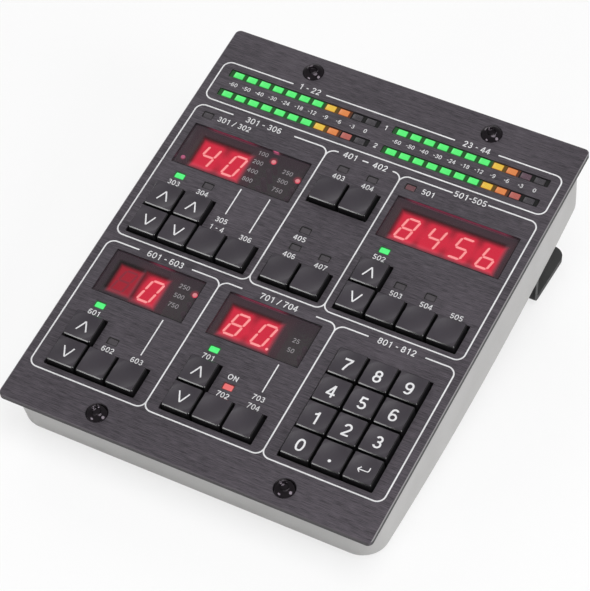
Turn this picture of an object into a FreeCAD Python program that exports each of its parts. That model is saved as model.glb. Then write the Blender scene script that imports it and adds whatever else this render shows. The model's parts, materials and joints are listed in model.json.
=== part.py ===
import FreeCAD, Part
import math
import os

# Desktop delay controller: a dark top plate full of keys, meters and displays on a light grey tray,
# held at a slope by two rubber feet in front and a bent steel stand behind. All lengths are in mm.
#
# The panel frame has its origin at the middle of the plate's top face, X to the right, Y towards the
# back and Z out of the plate. The desk frame has the same origin with Z upright.

# Keys, on one square pitch
key_pitch = 11.0
key_size = 10.4
key_top_size = 10.15
key_slot = 0.7
key_corner_radius = 0.6
key_rise = 2.2
key_dish = 0.5
key_rim_radius = 0.5
key_skirt = 4.0
key_wall = 1.1
key_roof = 1.4
key_travel = 1.0
stem_radius = 1.5
stem_clearance = 0.15
stem_length_in_switch = 1.8
switch_size = 7.0
switch_height = 4.0
cutout_corner_radius = 0.4

# Rows of the panel, each from the one in front of it, from the front edge to the back edge
front_margin = 22.5
lower_display_rise = 35.15
upper_keys_rise = 22.25
upper_display_rise = 35.45
meter_right_rise = 24.3
meter_left_rise = 8.85
back_margin = 18.5

# Sections of the panel, side by side
side_margin = 6.35
upper_section_gap = 4.95
lower_section_gap = 9.05

# Top plate
plate_thick = 2.0
plate_corner_radius = 2.0
plate_edge_bevel = 0.3

# Slope of the plate over the desk
tilt_degrees = 10.3

# Tray under the plate
rim_inset_side = 1.0
rim_inset_front = 2.0
rim_inset_back = 1.6
draft_side_degrees = 1.2
draft_front_degrees = 5.8
draft_back_degrees = 1.5
tray_corner_radius = 9.0
tray_wall = 2.2
tray_floor = 2.4
tray_depth_front = 19.5
tray_depth_middle = 27.3
tray_depth_back = 21.0
tray_bottom_fillet = 1.5
shadow_gap_height = 0.5
shadow_gap_width = 0.9

# Displays behind their smoked windows
window_height = 17.7
window_clearance = 0.15
window_recess = 0.7
window_flange = 1.2
window_flange_thick = 0.8
display_gap = 0.1
digit_width = 9.9
digit_module_depth = 12.7
label_pitch = 3.95
label_rise = 0.5
dot_radius = 0.9
dot_edge_inset = 2.4
dot_column_inset = 13.6
sign_dot_inset = 1.55
sign_dot_rise = 1.3
digits_offset_upper = -7.35
digits_offset_lower = -4.9
digits_offset_y = -0.3

# Level meters
meter_side_margin = 6.9
meter_middle_gap = 5.0
meter_end_margin = 1.6
meter_slot_height = 3.3
meter_clearance = 0.2
meter_recess = 0.3
lens_count = 11
lens_width = 3.7
lens_height = 2.5
lens_pocket = 1.5
lens_stand = 0.2

# Indicator lamps
lamp_width = 4.0
lamp_height = 2.8
lamp_corner_radius = 0.4
lamp_clearance = 0.25
lamp_recess = 0.15
title_lamp_rise = 13.25
pan_lamp_rise = 11.05
stacked_key_lamp_rise = 10.8
upper_key_lamp_rise = 11.0
lower_key_lamp_rise = 10.5
second_lamp_rise = 7.5
title_lamp_offset = 3.5

# Circuit board and what is on it
board_drop = 9.5
board_thick = 1.6
board_side_clearance = 2.1
board_post_clearance = 0.4
tongue_width = 24.0
tongue_reach = 5.0
standoff_radius = 2.2
standoff_side_inset = 4.0
standoff_end_inset = 2.4
standoff_middle_x = 40.0
board_screw_radius = 1.45
board_screw_head_radius = 2.75
board_screw_head = 1.8
board_screw_bite = 4.0
screw_clearance = 0.05
chip_thick = 1.4
processor_size = 14.0
driver_width = 7.5
driver_length = 10.0
driver_x = 32.0
socket_width = 7.7
socket_height = 3.9
socket_length = 9.2
socket_wall = 0.5
socket_hole_clearance = 0.9
socket_tongue = 0.9
socket_recess = 0.6

# Screws through the plate
plate_screw_x = 34.0
plate_screw_inset = 6.9
plate_screw_radius = 1.95
plate_screw_head_radius = 3.8
plate_screw_head = 2.2
plate_screw_length = 9.0
plate_screw_hole_clearance = 0.3
hex_socket_across_flats = 2.5
hex_socket_depth = 1.3
insert_radius = 2.7
insert_length = 8.0
post_radius = 4.2
post_bore_extra = 1.5

# Stand behind
stand_side_inset = 4.0
stand_sheet = 2.0
stand_flange_front = 14.0
stand_front = 52.3
stand_back = 79.4
stand_corner_radius = 5.0
stand_inner_bend = 1.0
stand_flange_gap = 0.3
stand_screw_x = 45.0
stand_screw_front = 22.0
stand_screw_back = 38.0
stand_boss_radius = 4.5
stand_boss_rise = 7.0
stand_screw_radius = 1.45
stand_screw_head_radius = 2.75
stand_screw_head = 1.8
stand_screw_bite = 6.0

# Rubber feet
stand_pad_thick = 1.0
stand_pad_width = 30.0
stand_pad_depth = 12.0
stand_pad_inset = 23.5
stand_pad_corner_radius = 2.0
foot_radius = 5.0
foot_inset = 15.5
foot_thick = 1.72

# How far cutting shapes run past what they cut
beyond = 1.0
far = 400.0

# Points closer than this are the same
same = 0.01


def group_width(columns):
    """Width of the opening round a row of keys. The display windows share it."""
    return (columns - 1) * key_pitch + key_size + 2 * key_slot


# The plate's outline and the middles of its rows and sections
plate_width = 2 * (side_margin + group_width(4) + upper_section_gap) + group_width(2)
plate_depth = (
    front_margin + lower_display_rise + upper_keys_rise + upper_display_rise
    + meter_right_rise + meter_left_rise + back_margin
)
lower_key_row = front_margin - plate_depth / 2
lower_display_y = lower_key_row + lower_display_rise
upper_key_row = lower_display_y + upper_keys_rise
upper_display_y = upper_key_row + upper_display_rise
meter_right_y = upper_display_y + meter_right_rise
meter_left_y = meter_right_y + meter_left_rise
upper_section_x = plate_width / 2 - side_margin - group_width(4) / 2
lower_section_x = group_width(3) + lower_section_gap
upper_second_row = upper_key_row + key_pitch
lower_second_row = lower_key_row + key_pitch
meter_slot_width = (plate_width - meter_middle_gap) / 2 - meter_side_margin
meter_slot_x = (meter_middle_gap + meter_slot_width) / 2
lens_pitch = (meter_slot_width - 2 * meter_end_margin - lens_width) / (lens_count - 1)
plate_screw_y = plate_depth / 2 - plate_screw_inset
foot_x = plate_width / 2 - foot_inset
foot_y = foot_inset - plate_depth / 2
stand_width = plate_width - 2 * stand_side_inset
stand_pad_x = plate_width / 2 - stand_pad_inset
stand_flange_drop = tray_depth_middle + stand_flange_gap

# Levels in the panel frame
plate_under = -plate_thick
board_top = -board_drop
board_under = board_top - board_thick
switch_top = board_top + switch_height
stem_end = switch_top - stem_length_in_switch
switch_bore_end = stem_end - key_travel - stem_clearance
key_bottom = -key_skirt
display_top = plate_under - window_flange_thick - display_gap


def vec(x, y, z):
    return FreeCAD.Vector(x, y, z)


def block(x, y, z_low, z_high, width, depth):
    """A box centred on x, y."""
    return Part.makeBox(width, depth, z_high - z_low, vec(x - width / 2, y - depth / 2, z_low))


def rod(x, y, z_low, z_high, radius):
    return Part.makeCylinder(radius, z_high - z_low, vec(x, y, z_low))


def rounded_wire(x_low, x_high, y_low, y_high, z, radius):
    """A rectangle with arcs at its corners."""
    left, right = x_low + radius, x_high - radius
    front, back = y_low + radius, y_high - radius
    reach = radius * math.sqrt(0.5)
    corners = (
        (vec(right, y_low, z), vec(right + reach, front - reach, z), vec(x_high, front, z)),
        (vec(x_high, back, z), vec(right + reach, back + reach, z), vec(right, y_high, z)),
        (vec(left, y_high, z), vec(left - reach, back + reach, z), vec(x_low, back, z)),
        (vec(x_low, front, z), vec(left - reach, front - reach, z), vec(left, y_low, z)),
    )
    edges = []
    for index, (start, middle, end) in enumerate(corners):
        edges.append(Part.Arc(start, middle, end).toShape())
        edges.append(Part.LineSegment(end, corners[(index + 1) % 4][0]).toShape())
    return Part.Wire(edges)


def rounded_block(x, y, z_low, z_high, width, depth, radius):
    wire = rounded_wire(x - width / 2, x + width / 2, y - depth / 2, y + depth / 2, z_low, radius)
    return Part.Face(wire).extrude(vec(0, 0, z_high - z_low))


def prism_along_x(points, width):
    """Extrude a YZ polygon over the given width, centred on X = 0."""
    corners = [vec(-width / 2, y, z) for y, z in points]
    return Part.Face(Part.makePolygon(corners + corners[:1])).extrude(vec(width, 0, 0))


def join(shapes):
    """Fuse touching shapes into one solid."""
    whole = shapes[0].multiFuse(shapes[1:]) if len(shapes) > 1 else shapes[0]
    return whole.removeSplitter()


# Places that more than one piece uses

def column_x(section_x, columns, column):
    """X of a key column in a section that is centred on section_x."""
    return section_x + (column - (columns - 1) / 2) * key_pitch


speed_x, depth_x, wave_x, source_x = [column_x(-upper_section_x, 4, k) for k in range(4)]
pan_x, dynamic_x = [column_x(0, 2, k) for k in range(2)]
time_x, time_mod_x, sync_x, learn_x = [column_x(upper_section_x, 4, k) for k in range(4)]
feedback_x, invert_x, feedback_select_x = [column_x(-lower_section_x, 3, k) for k in range(3)]
preset_x, bypass_x, special_x = [column_x(0, 3, k) for k in range(3)]
pad_x = [column_x(lower_section_x, 3, k) for k in range(3)]
pad_y = [lower_key_row + k * key_pitch for k in range(4)]

keys = {
    "key_speed_up": (speed_x, upper_second_row),
    "key_speed_down": (speed_x, upper_key_row),
    "key_depth_up": (depth_x, upper_second_row),
    "key_depth_down": (depth_x, upper_key_row),
    "key_waveform": (wave_x, upper_key_row),
    "key_source_select": (source_x, upper_key_row),
    "key_pan": (pan_x, upper_display_y),
    "key_dynamic": (dynamic_x, upper_display_y),
    "key_direct": (pan_x, upper_key_row),
    "key_reverse": (dynamic_x, upper_key_row),
    "key_time_up": (time_x, upper_second_row),
    "key_time_down": (time_x, upper_key_row),
    "key_time_modulation": (time_mod_x, upper_key_row),
    "key_sync": (sync_x, upper_key_row),
    "key_learn": (learn_x, upper_key_row),
    "key_feedback_up": (feedback_x, lower_second_row),
    "key_feedback_down": (feedback_x, lower_key_row),
    "key_invert": (invert_x, lower_key_row),
    "key_feedback_select": (feedback_select_x, lower_key_row),
    "key_preset_up": (preset_x, lower_second_row),
    "key_preset_down": (preset_x, lower_key_row),
    "key_bypass": (bypass_x, lower_key_row),
    "key_special": (special_x, lower_key_row),
    "key_digit_0": (pad_x[0], pad_y[0]),
    "key_point": (pad_x[1], pad_y[0]),
    "key_enter": (pad_x[2], pad_y[0]),
}
for digit in range(1, 10):
    keys["key_digit_%d" % digit] = (pad_x[(digit - 1) % 3], pad_y[1 + (digit - 1) // 3])

title_lamp_y = upper_display_y + title_lamp_rise
pan_lamp_y = upper_display_y + pan_lamp_rise
stacked_lamp_y = upper_second_row + stacked_key_lamp_rise
upper_lamp_y = upper_key_row + upper_key_lamp_rise
lamps = [
    (speed_x - title_lamp_offset, title_lamp_y),
    (speed_x, stacked_lamp_y),
    (depth_x, stacked_lamp_y),
    (pan_x, pan_lamp_y),
    (dynamic_x, pan_lamp_y),
    (pan_x, upper_lamp_y + second_lamp_rise),
    (pan_x, upper_lamp_y),
    (dynamic_x, upper_lamp_y),
    (time_x - title_lamp_offset, title_lamp_y),
    (time_x, stacked_lamp_y),
    (time_mod_x, upper_lamp_y),
    (sync_x, upper_lamp_y),
    (feedback_x, lower_second_row + lower_key_lamp_rise),
    (invert_x, lower_key_row + lower_key_lamp_rise),
    (preset_x, lower_second_row + lower_key_lamp_rise),
    (bypass_x, lower_key_row + lower_key_lamp_rise),
]

windows = {
    "window_modulation": (-upper_section_x, upper_display_y, group_width(4)),
    "window_time": (upper_section_x, upper_display_y, group_width(4)),
    "window_feedback": (-lower_section_x, lower_display_y, group_width(3)),
    "window_preset": (0, lower_display_y, group_width(3)),
}

meter_rows = [(side * meter_slot_x, y) for side in (-1, 1) for y in (meter_left_y, meter_right_y)]
plate_screws = [(side * plate_screw_x, end * plate_screw_y) for side in (-1, 1) for end in (-1, 1)]
stand_screws = [(side * stand_screw_x, y) for side in (-1, 1) for y in (stand_screw_front, stand_screw_back)]


# From the panel and desk frames to the finished part

def panel_to_desk(shape):
    turned = shape.copy()
    turned.rotate(vec(0, 0, 0), vec(1, 0, 0), tilt_degrees)
    return turned


def desk_to_panel(shape):
    turned = shape.copy()
    turned.rotate(vec(0, 0, 0), vec(1, 0, 0), -tilt_degrees)
    return turned


def panel_point_on_desk(y, z):
    """Desk frame Y and Z of a point given in the panel frame."""
    angle = math.radians(tilt_degrees)
    return y * math.cos(angle) - z * math.sin(angle), y * math.sin(angle) + z * math.cos(angle)


# Top plate

def key_cutouts():
    """One opening round each block of neighbouring keys."""
    slot = key_size + 2 * key_slot
    holes = [block(x, y, plate_under - beyond, beyond, slot, slot) for x, y in keys.values()]
    joined = join(holes)
    upright = [e for e in joined.Edges if e.BoundBox.ZLength > plate_thick]
    return joined.makeFillet(cutout_corner_radius, upright)


def make_top_plate():
    plate = rounded_block(0, 0, plate_under, 0, plate_width, plate_depth, plate_corner_radius)
    upper_edges = [e for e in plate.Edges if e.BoundBox.ZMin > -plate_thick / 2]
    plate = plate.makeChamfer(plate_edge_bevel, upper_edges)
    low, high = plate_under - beyond, beyond
    tools = [key_cutouts()]
    for x, y, width in windows.values():
        tools.append(rounded_block(x, y, low, high, width, window_height, cutout_corner_radius))
    width = meter_slot_width
    for x, y in meter_rows:
        tools.append(rounded_block(x, y, low, high, width, meter_slot_height, cutout_corner_radius))
    for x, y in lamps:
        tools.append(rounded_block(x, y, low, high, lamp_width, lamp_height, lamp_corner_radius))
    for x, y in plate_screws:
        tools.append(rod(x, y, low, high, plate_screw_radius + plate_screw_hole_clearance))
    return plate.cut(tools)


# Tray

def tray_insets(depth):
    """Side, front and back insets of the tray's outside from the plate's edge, at a depth."""
    down = depth - plate_thick
    side = rim_inset_side + down * math.tan(math.radians(draft_side_degrees))
    front = rim_inset_front + down * math.tan(math.radians(draft_front_degrees))
    back = rim_inset_back + down * math.tan(math.radians(draft_back_degrees))
    return side, front, back


def tray_wire(depth, inward):
    side, front, back = tray_insets(depth)
    x = plate_width / 2 - side - inward
    y_low = -plate_depth / 2 + front + inward
    y_high = plate_depth / 2 - back - inward
    return rounded_wire(-x, x, y_low, y_high, -depth, tray_corner_radius - inward)


def underside_circle():
    """The arch of the tray's underside, seen from the side."""
    front = tray_insets(tray_depth_front)[1] - plate_depth / 2
    back = plate_depth / 2 - tray_insets(tray_depth_back)[2]
    arc = Part.Arc(
        vec(0, front, -tray_depth_front),
        vec(0, (front + back) / 2, -tray_depth_middle),
        vec(0, back, -tray_depth_back),
    )
    return arc.toShape().Curve


def underside_arc(lift):
    """A cylinder along X that holds everything above the underside, raised by the given floor."""
    circle = underside_circle()
    start = vec(-far, circle.Center.y, circle.Center.z)
    return Part.makeCylinder(circle.Radius - lift, 2 * far, start, vec(1, 0, 0))


def underside_z(y):
    circle = underside_circle()
    return circle.Center.z - math.sqrt(circle.Radius ** 2 - (y - circle.Center.y) ** 2)


def height_over_desk():
    """Height of the panel frame's origin when the front feet have their thickness."""
    return foot_thick - panel_point_on_desk(foot_y, underside_z(foot_y))[1]


def above_desk(shape):
    """What is left of a panel frame shape above the desk's surface."""
    desk = Part.makeBox(2 * far, 2 * far, far, vec(-far, -far, -height_over_desk() - far))
    return shape.cut(desk_to_panel(desk))


def tray_solid(inward, lift, depth_top):
    """Everything inside the tray's outer faces, drawn inward and raised by its walls."""
    deep = tray_depth_middle + tray_floor
    sides = Part.makeLoft([tray_wire(depth_top, inward), tray_wire(deep, inward)], True, True)
    return sides.common(underside_arc(lift))


def make_housing():
    outer = tray_solid(0, 0, plate_thick)
    underside = [f for f in outer.Faces if f.BoundBox.ZMax < beyond - tray_depth_front]
    outer = outer.makeFillet(tray_bottom_fillet, underside[0].Edges)
    pieces = [outer.cut(tray_solid(tray_wall, tray_floor, plate_thick - beyond))]
    for x, y in plate_screws:
        post = rod(x, y, -tray_depth_middle, plate_under, post_radius)
        pieces.append(post.common(outer))
    for x, y in stand_screws:
        pieces.append(rod(x, y, -stand_flange_drop, -stand_flange_drop + stand_boss_rise, stand_boss_radius))
    gap_ring = tray_solid(-beyond, 0, plate_thick).cut(tray_solid(shadow_gap_width, 0, plate_thick - beyond))
    gap_band = block(0, 0, plate_under - shadow_gap_height, plate_under + beyond, plate_width, plate_depth)
    shell = join(pieces).cut(gap_ring.common(gap_band))
    holes = []
    for x, y in plate_screws:
        depth = insert_length + post_bore_extra
        holes.append(rod(x, y, plate_under - depth, plate_under + beyond, insert_radius))
    low, high = -stand_flange_drop - beyond, -stand_flange_drop + stand_screw_bite
    for x, y in stand_screws:
        holes.append(rod(x, y, low, high, stand_screw_radius + screw_clearance))
    holes.append(socket_block(socket_hole_clearance, 2 * socket_length))
    return shell.cut(holes)


def make_plate_screws():
    """Button-head screws with a hexagon socket."""
    screws = []
    head_radius, head = plate_screw_head_radius, plate_screw_head
    dome = (head_radius ** 2 + head ** 2) / (2 * head)
    hexagon = []
    for corner in range(6):
        angle = math.radians(60 * corner)
        reach = hex_socket_across_flats / 2 / math.cos(math.radians(30))
        hexagon.append(vec(reach * math.cos(angle), reach * math.sin(angle), head - hex_socket_depth))
    socket = Part.Face(Part.makePolygon(hexagon + hexagon[:1])).extrude(vec(0, 0, head))
    ball = Part.makeSphere(dome, vec(0, 0, head - dome))
    button = ball.common(rod(0, 0, 0, head, head_radius)).cut(socket)
    screw = join([button, rod(0, 0, -plate_screw_length, 0, plate_screw_radius)])
    for x, y in plate_screws:
        screws.append(screw.translated(vec(x, y, 0)))
    return screws


def make_screw_inserts():
    sleeves = []
    for x, y in plate_screws:
        sleeve = rod(x, y, plate_under - insert_length, plate_under, insert_radius)
        low = plate_under - insert_length - beyond
        bore = rod(x, y, low, plate_under + beyond, plate_screw_radius + screw_clearance)
        sleeves.append(sleeve.cut(bore))
    return sleeves


# Keys and their switches

def make_key(x, y):
    """A hollow tapered cap with a dished top and a stem that runs in its switch."""
    half, top_half = key_size / 2, key_top_size / 2
    foot = rounded_wire(x - half, x + half, y - half, y + half, key_bottom, key_corner_radius)
    top = rounded_wire(x - top_half, x + top_half, y - top_half, y + top_half, key_rise, key_corner_radius)
    cap = Part.makeLoft([foot, top], True, True)
    cap = cap.makeFillet(key_rim_radius, [e for e in cap.Edges if e.BoundBox.ZMin > key_rise - same])
    radius = (top_half ** 2 + key_dish ** 2) / (2 * key_dish)
    cap = cap.cut(Part.makeSphere(radius, vec(x, y, key_rise + radius - key_dish)))
    inside = key_size - 2 * key_wall
    hollow = block(x, y, key_bottom - beyond, key_rise - key_dish - key_roof, inside, inside)
    stem = rod(x, y, stem_end, key_rise - key_dish - key_roof, stem_radius)
    return join([cap.cut(hollow), stem])


def make_key_switches():
    """One switch body under each key, with the bore that guides the key's stem."""
    bodies = []
    for x, y in keys.values():
        body = block(x, y, board_top, switch_top, switch_size, switch_size)
        bore = rod(x, y, switch_bore_end, switch_top + beyond, stem_radius + stem_clearance)
        bodies.append(body.cut(bore))
    return bodies


# Windows, displays, meters and lamps

def make_window(x, y, width):
    """A smoked pane with a flange glued under the plate."""
    pane = rounded_block(
        x, y, plate_under, -window_recess,
        width - 2 * window_clearance, window_height - 2 * window_clearance, cutout_corner_radius,
    )
    low = plate_under - window_flange_thick
    flange = block(x, y, low, plate_under, width + 2 * window_flange, window_height + 2 * window_flange)
    return join([pane, flange])


def make_display(x, y, digits):
    return block(x, y + digits_offset_y, board_top, display_top, digits * digit_width, digit_module_depth)


def make_dot_leds():
    """Small round lamps beside the printed rows behind the windows."""
    modulation_half = group_width(4) / 2
    right_edge = -upper_section_x + modulation_half
    rows = [upper_display_y + label_rise + label_pitch * k for k in (1.5, 0.5, -0.5, -1.5)]
    places = [(right_edge - dot_column_inset, y) for y in rows]
    places += [(right_edge - dot_edge_inset, y) for y in rows[1:]]
    places += [(-upper_section_x - modulation_half + sign_dot_inset, rows[3] + sign_dot_rise)]
    edge = group_width(3) / 2 - dot_edge_inset
    rows = [lower_display_y + label_rise + label_pitch * k for k in (1, 0, -1)]
    places += [(edge - lower_section_x, y) for y in rows]
    places += [(edge, y) for y in rows[1:]]
    return [rod(x, y, board_top, display_top, dot_radius) for x, y in places]


def lens_places():
    for x, y in meter_rows:
        for index in range(lens_count):
            yield x + (index - (lens_count - 1) / 2) * lens_pitch, y


def make_meter_carriers():
    """Dark bars with a pocket for each lens."""
    bars = []
    pockets = [
        block(x, y, -meter_recess - lens_pocket, 0, lens_width, lens_height) for x, y in lens_places()
    ]
    for x, y in meter_rows:
        width = meter_slot_width - 2 * meter_clearance
        depth = meter_slot_height - 2 * meter_clearance
        bar = block(x, y, board_top, -meter_recess, width, depth)
        bars.append(bar.cut(pockets))
    return bars


def make_meter_lenses():
    low = -meter_recess - lens_pocket
    return [block(x, y, low, -meter_recess + lens_stand, lens_width, lens_height) for x, y in lens_places()]


def make_indicator_lamps():
    width = lamp_width - 2 * lamp_clearance
    depth = lamp_height - 2 * lamp_clearance
    return [rounded_block(x, y, board_top, -lamp_recess, width, depth, lamp_corner_radius) for x, y in lamps]


# Circuit board, which fits between the tray's side walls and the posts at its ends

tray_half_width = plate_width / 2 - tray_insets(board_drop + board_thick)[0] - tray_wall
board_half_width = tray_half_width - board_side_clearance
board_half_depth = plate_screw_y - post_radius - board_post_clearance


def standoff_places():
    x, y = board_half_width - standoff_side_inset, board_half_depth - standoff_end_inset
    between = (upper_key_row - key_size / 2 - key_slot + lower_display_y + window_height / 2) / 2
    corners = [(-x, -y), (-x, y), (x, -y), (x, y)]
    return corners + [(-standoff_middle_x, between), (standoff_middle_x, between)]


def make_board():
    board = block(0, 0, board_under, board_top, 2 * board_half_width, 2 * board_half_depth)
    tongue = block(0, board_half_depth, board_under, board_top, tongue_width, 2 * tongue_reach)
    board = join([board, tongue])
    hole = board_screw_radius + screw_clearance
    low, high = board_under - beyond, board_top + beyond
    return board.cut([rod(x, y, low, high, hole) for x, y in standoff_places()])


def make_standoffs():
    pillars = []
    bore_radius = board_screw_radius + screw_clearance
    for x, y in standoff_places():
        pillar = rod(x, y, board_top, plate_under, standoff_radius)
        bore = rod(x, y, board_top - beyond, board_top + board_screw_bite, bore_radius)
        pillars.append(pillar.cut(bore))
    return pillars


def make_board_screws():
    screws = []
    for x, y in standoff_places():
        head = rod(x, y, board_under - board_screw_head, board_under, board_screw_head_radius)
        shank = rod(x, y, board_under, board_top + board_screw_bite, board_screw_radius)
        screws.append(join([head, shank]))
    return screws


def make_chips():
    """The processor in the middle and a display driver on each side, under the board."""
    low = board_under - chip_thick
    middle = block(0, 0, low, board_under, processor_size, processor_size)
    sides = [block(side * driver_x, 0, low, board_under, driver_width, driver_length) for side in (-1, 1)]
    return [middle] + sides


def socket_front():
    """Y of the socket's mouth, just inside the tray's back face."""
    depth = board_drop - socket_height / 2
    return plate_depth / 2 - tray_insets(depth)[2] - socket_recess


def socket_block(grow, length):
    """The socket's outline, grown all round, that ends at its mouth or runs out past it."""
    y_high = socket_front() + (length - socket_length)
    y_low = socket_front() - socket_length
    width, height = socket_width + 2 * grow, socket_height + 2 * grow
    return Part.makeBox(width, y_high - y_low, height, vec(-width / 2, y_low, board_top - grow))


def make_socket():
    body = socket_block(0, socket_length)
    low = board_top + socket_wall
    back = socket_front() - socket_length
    width = socket_width - 2 * socket_wall
    height = socket_height - 2 * socket_wall
    cavity = Part.makeBox(width, socket_length, height, vec(-width / 2, back + socket_wall, low))
    tongue_low = board_top + (socket_height - socket_tongue) / 2
    reach = socket_length - socket_recess
    tongue = Part.makeBox(width / 2, reach, socket_tongue, vec(-width / 4, back, tongue_low))
    return join([body.cut(cavity), tongue])


# Stand and feet

def make_stand():
    """Bent steel: a flange under the tray, a riser and a foot that lies on the desk."""
    foot_low = stand_pad_thick - height_over_desk()
    foot_high = foot_low + stand_sheet
    flange_high = -stand_flange_drop
    flange_low = flange_high - stand_sheet
    angle = math.radians(tilt_degrees)

    def on_flange(y_desk, z_panel):
        """The desk frame point of a flange face over a desk frame Y."""
        y_panel = (y_desk + z_panel * math.sin(angle)) / math.cos(angle)
        return panel_point_on_desk(y_panel, z_panel)

    riser_back = stand_front + stand_sheet
    points = [
        panel_point_on_desk(stand_flange_front, flange_low),
        on_flange(stand_front, flange_low),
        (stand_front, foot_low),
        (stand_back, foot_low),
        (stand_back, foot_high),
        (riser_back, foot_high),
        on_flange(riser_back, flange_high),
        panel_point_on_desk(stand_flange_front, flange_high),
    ]
    sheet = prism_along_x(points, stand_width)
    inner = [points[1], points[5]]
    outer = [points[2], points[6]]
    sheet = fillet_along_x(sheet, inner, stand_inner_bend)
    sheet = fillet_along_x(sheet, outer, stand_inner_bend + stand_sheet)
    corners = [e for e in sheet.Edges if e.BoundBox.YMin > stand_back - same and e.BoundBox.XLength < same]
    sheet = sheet.makeFillet(stand_corner_radius, corners)
    holes = []
    low, high = flange_low - beyond, flange_high + beyond
    for x, y in stand_screws:
        holes.append(rod(x, y, low, high, stand_screw_radius + screw_clearance))
    return desk_to_panel(sheet).cut(holes)


def fillet_along_x(solid, points, radius):
    """Round the long edges that run along X through the given YZ points."""
    edges = []
    for edge in solid.Edges:
        box = edge.BoundBox
        for y, z in points:
            if box.XLength > same and abs(box.Center.y - y) < same and abs(box.Center.z - z) < same:
                edges.append(edge)
    return solid.makeFillet(radius, edges)


def make_stand_screws():
    screws = []
    flange_low = -stand_flange_drop - stand_sheet
    for x, y in stand_screws:
        head = rod(x, y, flange_low - stand_screw_head, flange_low, stand_screw_head_radius)
        shank = rod(x, y, flange_low, stand_screw_bite - stand_flange_drop - beyond, stand_screw_radius)
        screws.append(join([head, shank]))
    return screws


def make_stand_pads():
    low = -height_over_desk()
    high = low + stand_pad_thick
    y = (stand_front + stand_sheet + stand_back) / 2
    pads = []
    for x in (-stand_pad_x, stand_pad_x):
        pad = rounded_block(x, y, low, high, stand_pad_width, stand_pad_depth, stand_pad_corner_radius)
        pads.append(desk_to_panel(pad))
    return pads


def make_front_feet():
    """Rubber discs that follow the tray's underside and are cut flat by the desk."""
    feet = []
    for x in (-foot_x, foot_x):
        disc = rod(x, foot_y, -tray_depth_middle, -tray_depth_front, foot_radius)
        feet.append(above_desk(disc.cut(underside_arc(0))))
    return feet


def build_all():
    """Every node's solids, in the panel frame."""
    nodes = {
        "top_plate": [make_top_plate()],
        "housing": [make_housing()],
        "plate_screws": make_plate_screws(),
        "screw_inserts": make_screw_inserts(),
        "key_switches": make_key_switches(),
        "two_digit_displays": [
            make_display(-upper_section_x + digits_offset_upper, upper_display_y, 2),
            make_display(-lower_section_x + digits_offset_lower, lower_display_y, 2),
            make_display(digits_offset_lower, lower_display_y, 2),
        ],
        "four_digit_display": [make_display(upper_section_x, upper_display_y, 4)],
        "dot_leds": make_dot_leds(),
        "meter_carriers": make_meter_carriers(),
        "meter_lenses": make_meter_lenses(),
        "indicator_lamps": make_indicator_lamps(),
        "main_board": [make_board()],
        "board_standoffs": make_standoffs(),
        "board_screws": make_board_screws(),
        "control_chips": make_chips(),
        "usb_socket": [make_socket()],
        "stand_bracket": [make_stand()],
        "stand_screws": make_stand_screws(),
        "stand_pads": make_stand_pads(),
        "front_feet": make_front_feet(),
    }
    for name, place in windows.items():
        nodes[name] = [make_window(*place)]
    for name, place in keys.items():
        nodes[name] = [make_key(*place)]
    return nodes


def write_nodes(nodes):
    """Turn the part to the desk, centre it and write one file per node."""
    turned = {name: [panel_to_desk(s) for s in solids] for name, solids in nodes.items()}
    outside = Part.makeCompound(turned["top_plate"] + turned["housing"] + turned["stand_bracket"])
    box = outside.optimalBoundingBox()
    shift = vec(0, -(box.YMin + box.YMax) / 2, height_over_desk())
    for name, solids in turned.items():
        moved = [solid.translated(shift) for solid in solids]
        shape = moved[0] if len(moved) == 1 else Part.makeCompound(moved)
        shape.exportStep("parts/%s.step" % name)
        print(name, len(shape.Solids), "valid" if shape.isValid() else "INVALID", round(shape.Volume, 1))
    print("shift", shift)


os.makedirs("parts", exist_ok=True)
write_nodes(build_all())
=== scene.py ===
# %% [markdown]
# # A desktop delay controller, dressed over its CAD model
# The unit is a dark brushed plate full of sprung keys, level meters and red digit displays, on a light grey
# tray. This lesson loads the CAD model as a fixed frame, rebuilds the pieces whose looks need more than
# plain solids, paints every piece with a node material, and sets up the camera and the light. The CAD model
# is in metres. The helpers below take millimetres, which are easier to read, and `mm` turns them into
# metres.

# %% Load the frame
import json
import math
import bpy
from mathutils import Matrix, Vector


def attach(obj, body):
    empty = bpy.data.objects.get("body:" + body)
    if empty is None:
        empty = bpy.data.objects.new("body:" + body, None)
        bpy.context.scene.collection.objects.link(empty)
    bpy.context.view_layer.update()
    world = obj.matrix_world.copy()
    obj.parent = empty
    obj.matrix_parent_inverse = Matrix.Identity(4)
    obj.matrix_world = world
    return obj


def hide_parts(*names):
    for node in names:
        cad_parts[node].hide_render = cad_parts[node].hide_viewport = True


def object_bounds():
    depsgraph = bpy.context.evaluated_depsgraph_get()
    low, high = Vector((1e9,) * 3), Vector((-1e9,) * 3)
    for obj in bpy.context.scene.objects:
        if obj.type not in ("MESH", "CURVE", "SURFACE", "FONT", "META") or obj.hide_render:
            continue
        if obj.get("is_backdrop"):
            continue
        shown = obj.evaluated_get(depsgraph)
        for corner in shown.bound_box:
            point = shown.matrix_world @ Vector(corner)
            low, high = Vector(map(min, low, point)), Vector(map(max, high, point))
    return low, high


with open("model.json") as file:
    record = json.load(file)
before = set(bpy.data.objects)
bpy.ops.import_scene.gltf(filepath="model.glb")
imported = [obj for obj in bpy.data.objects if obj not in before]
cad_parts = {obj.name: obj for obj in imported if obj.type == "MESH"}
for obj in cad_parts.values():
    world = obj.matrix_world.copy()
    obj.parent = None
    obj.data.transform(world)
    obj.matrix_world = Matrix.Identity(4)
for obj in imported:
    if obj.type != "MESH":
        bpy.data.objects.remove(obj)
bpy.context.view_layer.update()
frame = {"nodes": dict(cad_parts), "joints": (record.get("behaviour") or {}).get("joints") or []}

mm = 0.001

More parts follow.
